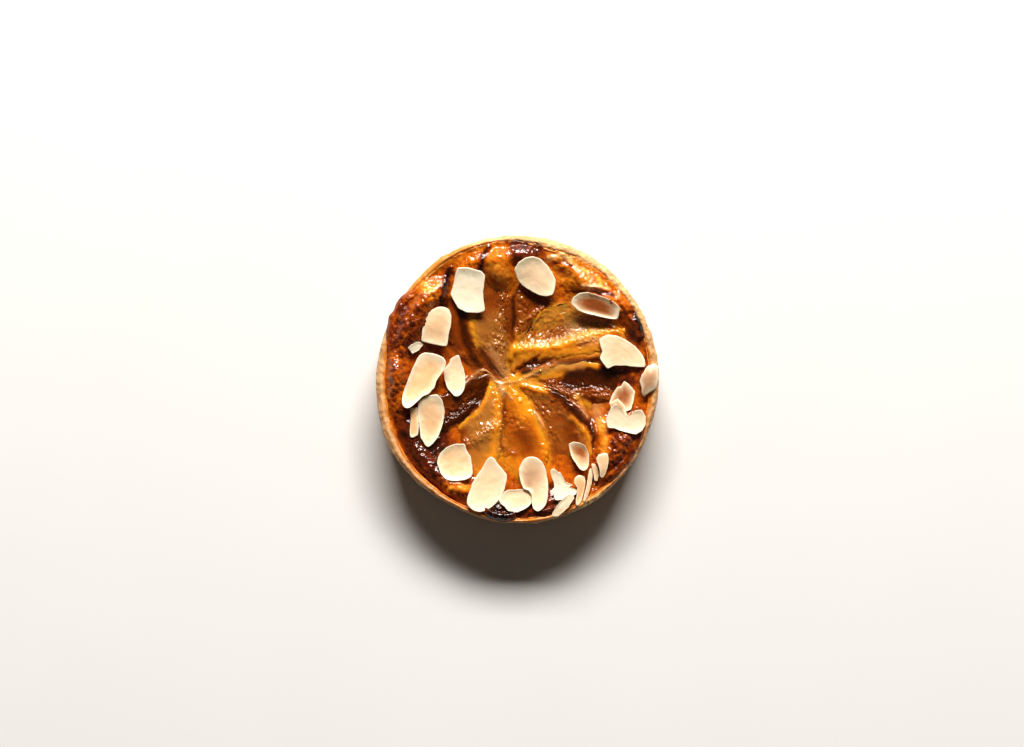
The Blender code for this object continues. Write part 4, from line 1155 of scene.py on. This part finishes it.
class TART_OT_pears(bpy.types.Operator):
    """Make the nine glazed pear slices"""

    bl_idname = "tart.pears"
    bl_label = "Pear slices"

    # Rows along a slice, and points over and under its section.
    rows, over, under = 190, 110, 36
    # How much keener the edges are than an ellipse's.
    keenness = 0.55
    # The first slice's first seed, and the step to the next slice's.
    first_seed, seed_step = 100, 20

    def execute(self, context):
        for number, slice_ in enumerate(PEARS):
            self.make(slice_, self.first_seed + self.seed_step * number, context.scene.tart_pears)
        return {"FINISHED"}

    def make(self, slice_, seed, look):
        """The section is a wedge with keen edges, (cos a, sin a |sin a|^k) stretched to the breadth and
        thickness, carried along a bowed line. The outline wanders a little, and marks, fibres, dimples, grit
        and beads stand on it."""
        length, ahead, left = slice_lines(slice_)
        share = ((1 - np.cos(np.linspace(0, math.pi, self.rows + 2)[1:-1])) / 2)[:, None]
        top = np.linspace(0, math.pi, self.over, endpoint=False)
        angle = np.concatenate((top, np.linspace(math.pi, TURN, self.under, endpoint=False)))
        across = np.cos(angle) + 0 * share
        up = np.sin(angle) * np.abs(np.sin(angle)) ** self.keenness + 0 * share
        along = share * length + 0 * across
        # The two edges lie far apart in the noise, so that each wanders in its own way.
        beside = points_at(along, 7.0 * np.sign(across))
        wander = 0.035 * ripple(beside, 5.0, seed) + 0.025 * layered(beside, 1.6, seed + 1, 2)
        breadth = slice_breadth(slice_, share) * (1 + wander * np.abs(across))
        aside = slice_.bow * 4 * share * (1 - share) + slice_.side * across * breadth
        x = slice_.tip[0] + ahead[0] * along + left[0] * aside
        y = slice_.tip[1] + ahead[1] * along + left[1] * aside
        lift, marks = marks_on((slice_.name, "pears", "top"), x, y)
        z = slice_height(slice_, share, across, up) + lift * ease(0, 0.05, share) * ease(1, 0.97, share)
        own = points_at(along, across * breadth, up * 2.0)
        fibres = ripple(own, (8.0, 0.9, 1.0), seed + 2) + 0.6 * ripple(own, (5.0, 0.45, 1.0), seed + 3)
        grit = ripple(own, 1.0, seed + 4) * ease(-0.4, 0.5, ripple(own, 5.0, seed + 6))
        relief = look.fibres * fibres + look.dimples * layered(own, 6.0, seed + 9, 2) + look.grit * grit
        sparse = beads(own, 1.5, seed + 11) * ease(-0.1, 0.4, ripple(own, 5.0, seed + 12))
        relief = relief + look.beads * (sparse + beads(own, 0.85, seed + 13) * marks.get("beads", 0))
        calm = ease(0, 0.10, share) * ease(1, 0.95, share)
        rings = points_at(x, y, z)
        rings = rings + outward(rings) * (relief / MM * calm)[..., None]
        z = rings[..., 2]
        proud = ease(0.1, 1.3, z - LIE.read("smooth", x, y))
        # Painted light and shade: hollows darken with painted shade, and the thin edges of proud parts get a
        # painted amber glow.
        masks = stewed(slice_.syrup + 0.3 * proud, slice_.dark, hollow_at(x, y, z), marks)
        masks["amber"] = masks["amber"] + 0.4 * proud * ease(0.6, 0.97, np.abs(across)) * (1 - slice_.dark)
        start = (*slice_.tip, slice_.tip_top - 0.5 * slice_.thickness)
        end = (*slice_.end, slice_.end_top - 0.5 * slice_.thickness)
        mesh = skin(slice_.name + "_glazed", rings, start, end, masks)
        put_on("glazed_" + slice_.name, mesh, finish("glazed pear", pear_surface), "glazed_pear", slice_.name)


class TART_OT_flakes(bpy.types.Operator):
    """Make the flaked almonds"""

    bl_idname = "tart.flakes"
    bl_label = "Flaked almonds"

    # Rings from a flake's middle to its edge, and points round it.
    rows, around = 16, 144
    # How deep the flakes sit in the glaze, the share of the model flakes' tilt that they keep, and the
    # percentage of a flake's underside that has to lie clear of the top.
    sink, tilt, clear = 0.3, 0.4, 96
    # How many waves round the outline are the finest that its rounding leaves.
    finest_wave = 34
    # How low the middle of a flake lies, as a share of its dish's depth.
    middle_drop = 0.4
    # How far apart the flakes lie in the noise of their faces and their outlines, so that no two are alike.
    face_step, outline_step = 9.0, 5.0

    def execute(self, context):
        names = sorted(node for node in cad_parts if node.startswith("almond_flake"))
        for number, name in enumerate(names, start=1):
            self.make(name, number, FLAKES[number - 1], context.scene.tart_almonds)
        return {"FINISHED"}

    def make(self, name, number, flake, look):
        """The outline, r(a), is shrunk ring by ring to the model flake's middle. The height over a gentler
        slope than the model flake's is c + p u^2 + q v^2 + s u v, fitted to it, plus a shallow dish, and the
        thickness falls off at the edge."""
        points = corners_of(name)
        middle = points.mean(axis=0)
        _, _, axes = np.linalg.svd(points - middle, full_matrices=False)
        up = axes[2] * np.sign(axes[2, 2]) * (self.tilt, self.tilt, 1)
        axes[2] = up / np.linalg.norm(up)
        axes[0] -= (axes[0] @ axes[2]) * axes[2]
        axes[0] /= np.linalg.norm(axes[0])
        axes[1] = np.cross(axes[2], axes[0])
        u, v, w = ((points - middle) @ axes.T).T
        curve = np.stack((np.ones_like(u), u * u, v * v, u * v), axis=1)
        bend = np.linalg.lstsq(curve, w, rcond=None)[0]
        angle = once_round(self.around)
        reach = self.outline(flake.outline, middle, axes, angle, number)
        half = 0.5 * look.thickness / MM
        ring = np.linspace(0, 1, self.rows + 1)[1:] ** 0.55
        shrink = np.concatenate((ring, ring[-2::-1]))[:, None]
        face = np.concatenate((np.ones(self.rows), -np.ones(self.rows - 1)))[:, None]
        flat = points_round(shrink * reach, angle, self.face_step * number)
        u, v = flat[..., 0], flat[..., 1]
        dish = flake.dish * (shrink ** 4 - self.middle_drop) * (1 + ripple(flat, 9.0, 61))
        thickness = half * (1 - 0.6 * shrink ** 2) * np.sqrt(np.clip(1 - shrink ** 18, 0, 1))
        thickness = thickness * (1 + 0.10 * layered(flat, 2.5, 67, 2))
        w = bend[0] + bend[1] * u * u + bend[2] * v * v + bend[3] * u * v
        w = w + dish + face * thickness + 0.10 * layered(flat, 4.0, 71, 3) - self.sink
        rings = middle + points_at(u, v, w) @ axes
        brim = ease(0.72, 0.94, shrink + 0.05 * ripple(flat, 2.0, 79))
        soaked = flake.soaked + 0 * u
        if flake.side is not None:
            side = math.radians(flake.side)
            toward = axes[:2, :2] @ (math.cos(side), math.sin(side))
            soaked = soaked * ease(-0.5, 0.5, shrink * (points_round(1, angle)[:, :2] @ toward))
        masks = {
            "heart": ease(1.0, 0.35, shrink + 0.25 * ripple(flat, 4.0, 73)) * flake.heart,
            "soaked": soaked * (1 - 0.85 * brim) * ease(1.1, 0.2, shrink + 0.1 * ripple(flat, 5.0, 83)),
            # Whiteness raises the whole flake to the brim colour: in part painted light for flakes tilted
            # from the light.
            "brim": np.maximum(0.8 * brim, flake.white),
        }
        low = bend[0] - self.middle_drop * flake.dish - self.sink
        poles = middle + points_at(0, 0, low + half * np.array((1, -1))) @ axes
        buried = (LIE.read("top", rings[..., 0], rings[..., 1]) - rings[..., 2])[self.rows:]
        rise = (0, 0, max(np.percentile(buried, self.clear), 0))
        mesh = skin(name + "_sliced", rings + rise, *(poles + rise), masks)
        put_on("sliced_" + name, mesh, finish("flaked almond", almond_surface), "almond", name)

    def outline(self, corners, middle, axes, angle, number):
        """The distance from the middle to the outline at each angle. Between two corners, at the angles a
        and b and the distances p and q, a straight side is at p q sin(b - a) / (p sin(t - a) + q sin(b - t)).
        The result is rounded and made a little uneven."""
        flat = np.array(corners) - middle[:2]
        rise = -(flat @ axes[2, :2]) / axes[2, 2]
        u, v = np.column_stack((flat, rise)) @ axes[0], np.column_stack((flat, rise)) @ axes[1]
        at, far = np.arctan2(v, u) % TURN, np.hypot(u, v)
        order = np.argsort(at)
        at = np.concatenate((at[order][-1:] - TURN, at[order], at[order][:1] + TURN))
        far = np.concatenate((far[order][-1:], far[order], far[order][:1]))
        side = np.searchsorted(at, angle, side="right") - 1
        a, b, p, q = at[side], at[side + 1], far[side], far[side + 1]
        reach = p * q * np.sin(b - a) / (p * np.sin(angle - a) + q * np.sin(b - angle))
        wave = np.fft.rfftfreq(self.around, 1 / self.around)
        reach = np.fft.irfft(np.fft.rfft(reach) * np.exp(-(wave / self.finest_wave) ** 2), self.around)
        return reach + 0.12 * ripple(points_round(1, angle, self.outline_step * number), 0.3, 89)


class TART_OT_stage(bpy.types.Operator):
    """Set out the floor, the lights and the camera"""

    bl_idname = "tart.stage"
    bl_label = "Floor, lights and camera"

    # How much of the floor, in metres, the camera takes in from side to side at the rim's height, and where
    # its middle lies.
    view_width, view_middle = 0.3568, (-0.0019, 0.0021)
    # The lights, each with its place, as (azimuth, elevation, distance), its width and height in metres, and
    # its colour, and the colour of the surroundings.
    window_light = ((86.0, 36.5, 2.2), (1.5, 0.5), (1.0, 0.985, 0.96))
    fill_light = ((250.0, 55.0, 1.5), (1.6, 1.6), (1.0, 0.97, 0.94))
    sky_colour = (1.0, 0.88, 0.74, 1)
    # The floor's radius, in metres, and its thickness and the radius of its first ring, in millimetres.
    floor_reach, floor_thickness, floor_start = 4.0, 10.0, 20.0

    def execute(self, context):
        look = context.scene.tart_stage
        self.floor()
        self.lamp("window_light", look.key_power, *self.window_light)
        self.lamp("fill_light", look.fill_power, *self.fill_light)
        camera = bpy.data.objects.new("camera", bpy.data.cameras.new("camera"))
        rim = MODEL_BOX[1][2]
        camera.location = (*self.view_middle, rim + look.camera_height)
        camera.data.lens = camera.data.sensor_width * look.camera_height / self.view_width
        context.scene.collection.objects.link(camera)
        context.scene.camera = camera
        world = bpy.data.worlds.new("surroundings")
        world.use_nodes = True
        sky = world.node_tree.nodes["Background"].inputs
        sky["Color"].default_value, sky["Strength"].default_value = self.sky_colour, look.sky
        context.scene.world = world
        context.scene.view_settings.view_transform = "Standard"
        context.scene.view_settings.look = "Medium High Contrast"
        return {"FINISHED"}

    def floor(self):
        """A flat round slab, whose rings grow by equal ratios from the middle."""
        reach = np.geomspace(self.floor_start, self.floor_reach / MM, 40)[:, None]
        rings = points_round(reach, once_round(96))
        down = (0, 0, -self.floor_thickness)
        mesh = skin("floor", np.concatenate((rings, rings[-1:] + down)), (0, 0, 0), down, {})
        floor = bpy.data.objects.new("floor", mesh)
        bpy.context.scene.collection.objects.link(floor)
        mesh.materials.append(finish("pale floor", floor_surface))

    def lamp(self, name, power, place, size, colour):
        """A rectangular light at a place round the tart, turned to face it."""
        turn, rise, distance = math.radians(place[0]), math.radians(place[1]), place[2]
        light = bpy.data.lights.new(name, "AREA")
        light.shape, light.energy, light.color = "RECTANGLE", power, colour
        light.size, light.size_y = size
        lamp = bpy.data.objects.new(name, light)
        flat = distance * math.cos(rise)
        lamp.location = (flat * math.cos(turn), flat * math.sin(turn), distance * math.sin(rise))
        lamp.rotation_euler = lamp.location.to_track_quat("Z", "Y").to_euler()
        bpy.context.scene.collection.objects.link(lamp)


class TART_PT_panel(bpy.types.Panel):
    """The tart's pieces, one button each"""

    bl_idname = "TART_PT_panel"
    bl_label = "Pear and almond tart"
    bl_space_type = "VIEW_3D"
    bl_region_type = "UI"
    bl_category = "Tart"

    def draw(self, context):
        for operator in OPERATORS:
            self.layout.operator(operator.bl_idname)


OPERATORS = (TART_OT_shell, TART_OT_filling, TART_OT_pears, TART_OT_flakes, TART_OT_stage)
SETTINGS = {
    "tart_pastry": TartPastrySettings,
    "tart_filling": TartFillingSettings,
    "tart_pears": TartPearSettings,
    "tart_almonds": TartAlmondSettings,
    "tart_stage": TartStageSettings,
}


def register():
    for name, group in SETTINGS.items():
        bpy.utils.register_class(group)
        setattr(bpy.types.Scene, name, bpy.props.PointerProperty(type=group))
    for shown in (*OPERATORS, TART_PT_panel):
        bpy.utils.register_class(shown)


def unregister():
    for shown in (TART_PT_panel, *reversed(OPERATORS)):
        bpy.utils.unregister_class(shown)
    for name, group in SETTINGS.items():
        delattr(bpy.types.Scene, name)
        bpy.utils.unregister_class(group)


def main():
    register()
    bpy.ops.tart.shell()
    bpy.ops.tart.filling()
    bpy.ops.tart.pears()
    bpy.ops.tart.flakes()
    bpy.ops.tart.stage()


if __name__ == "__main__":
    main()
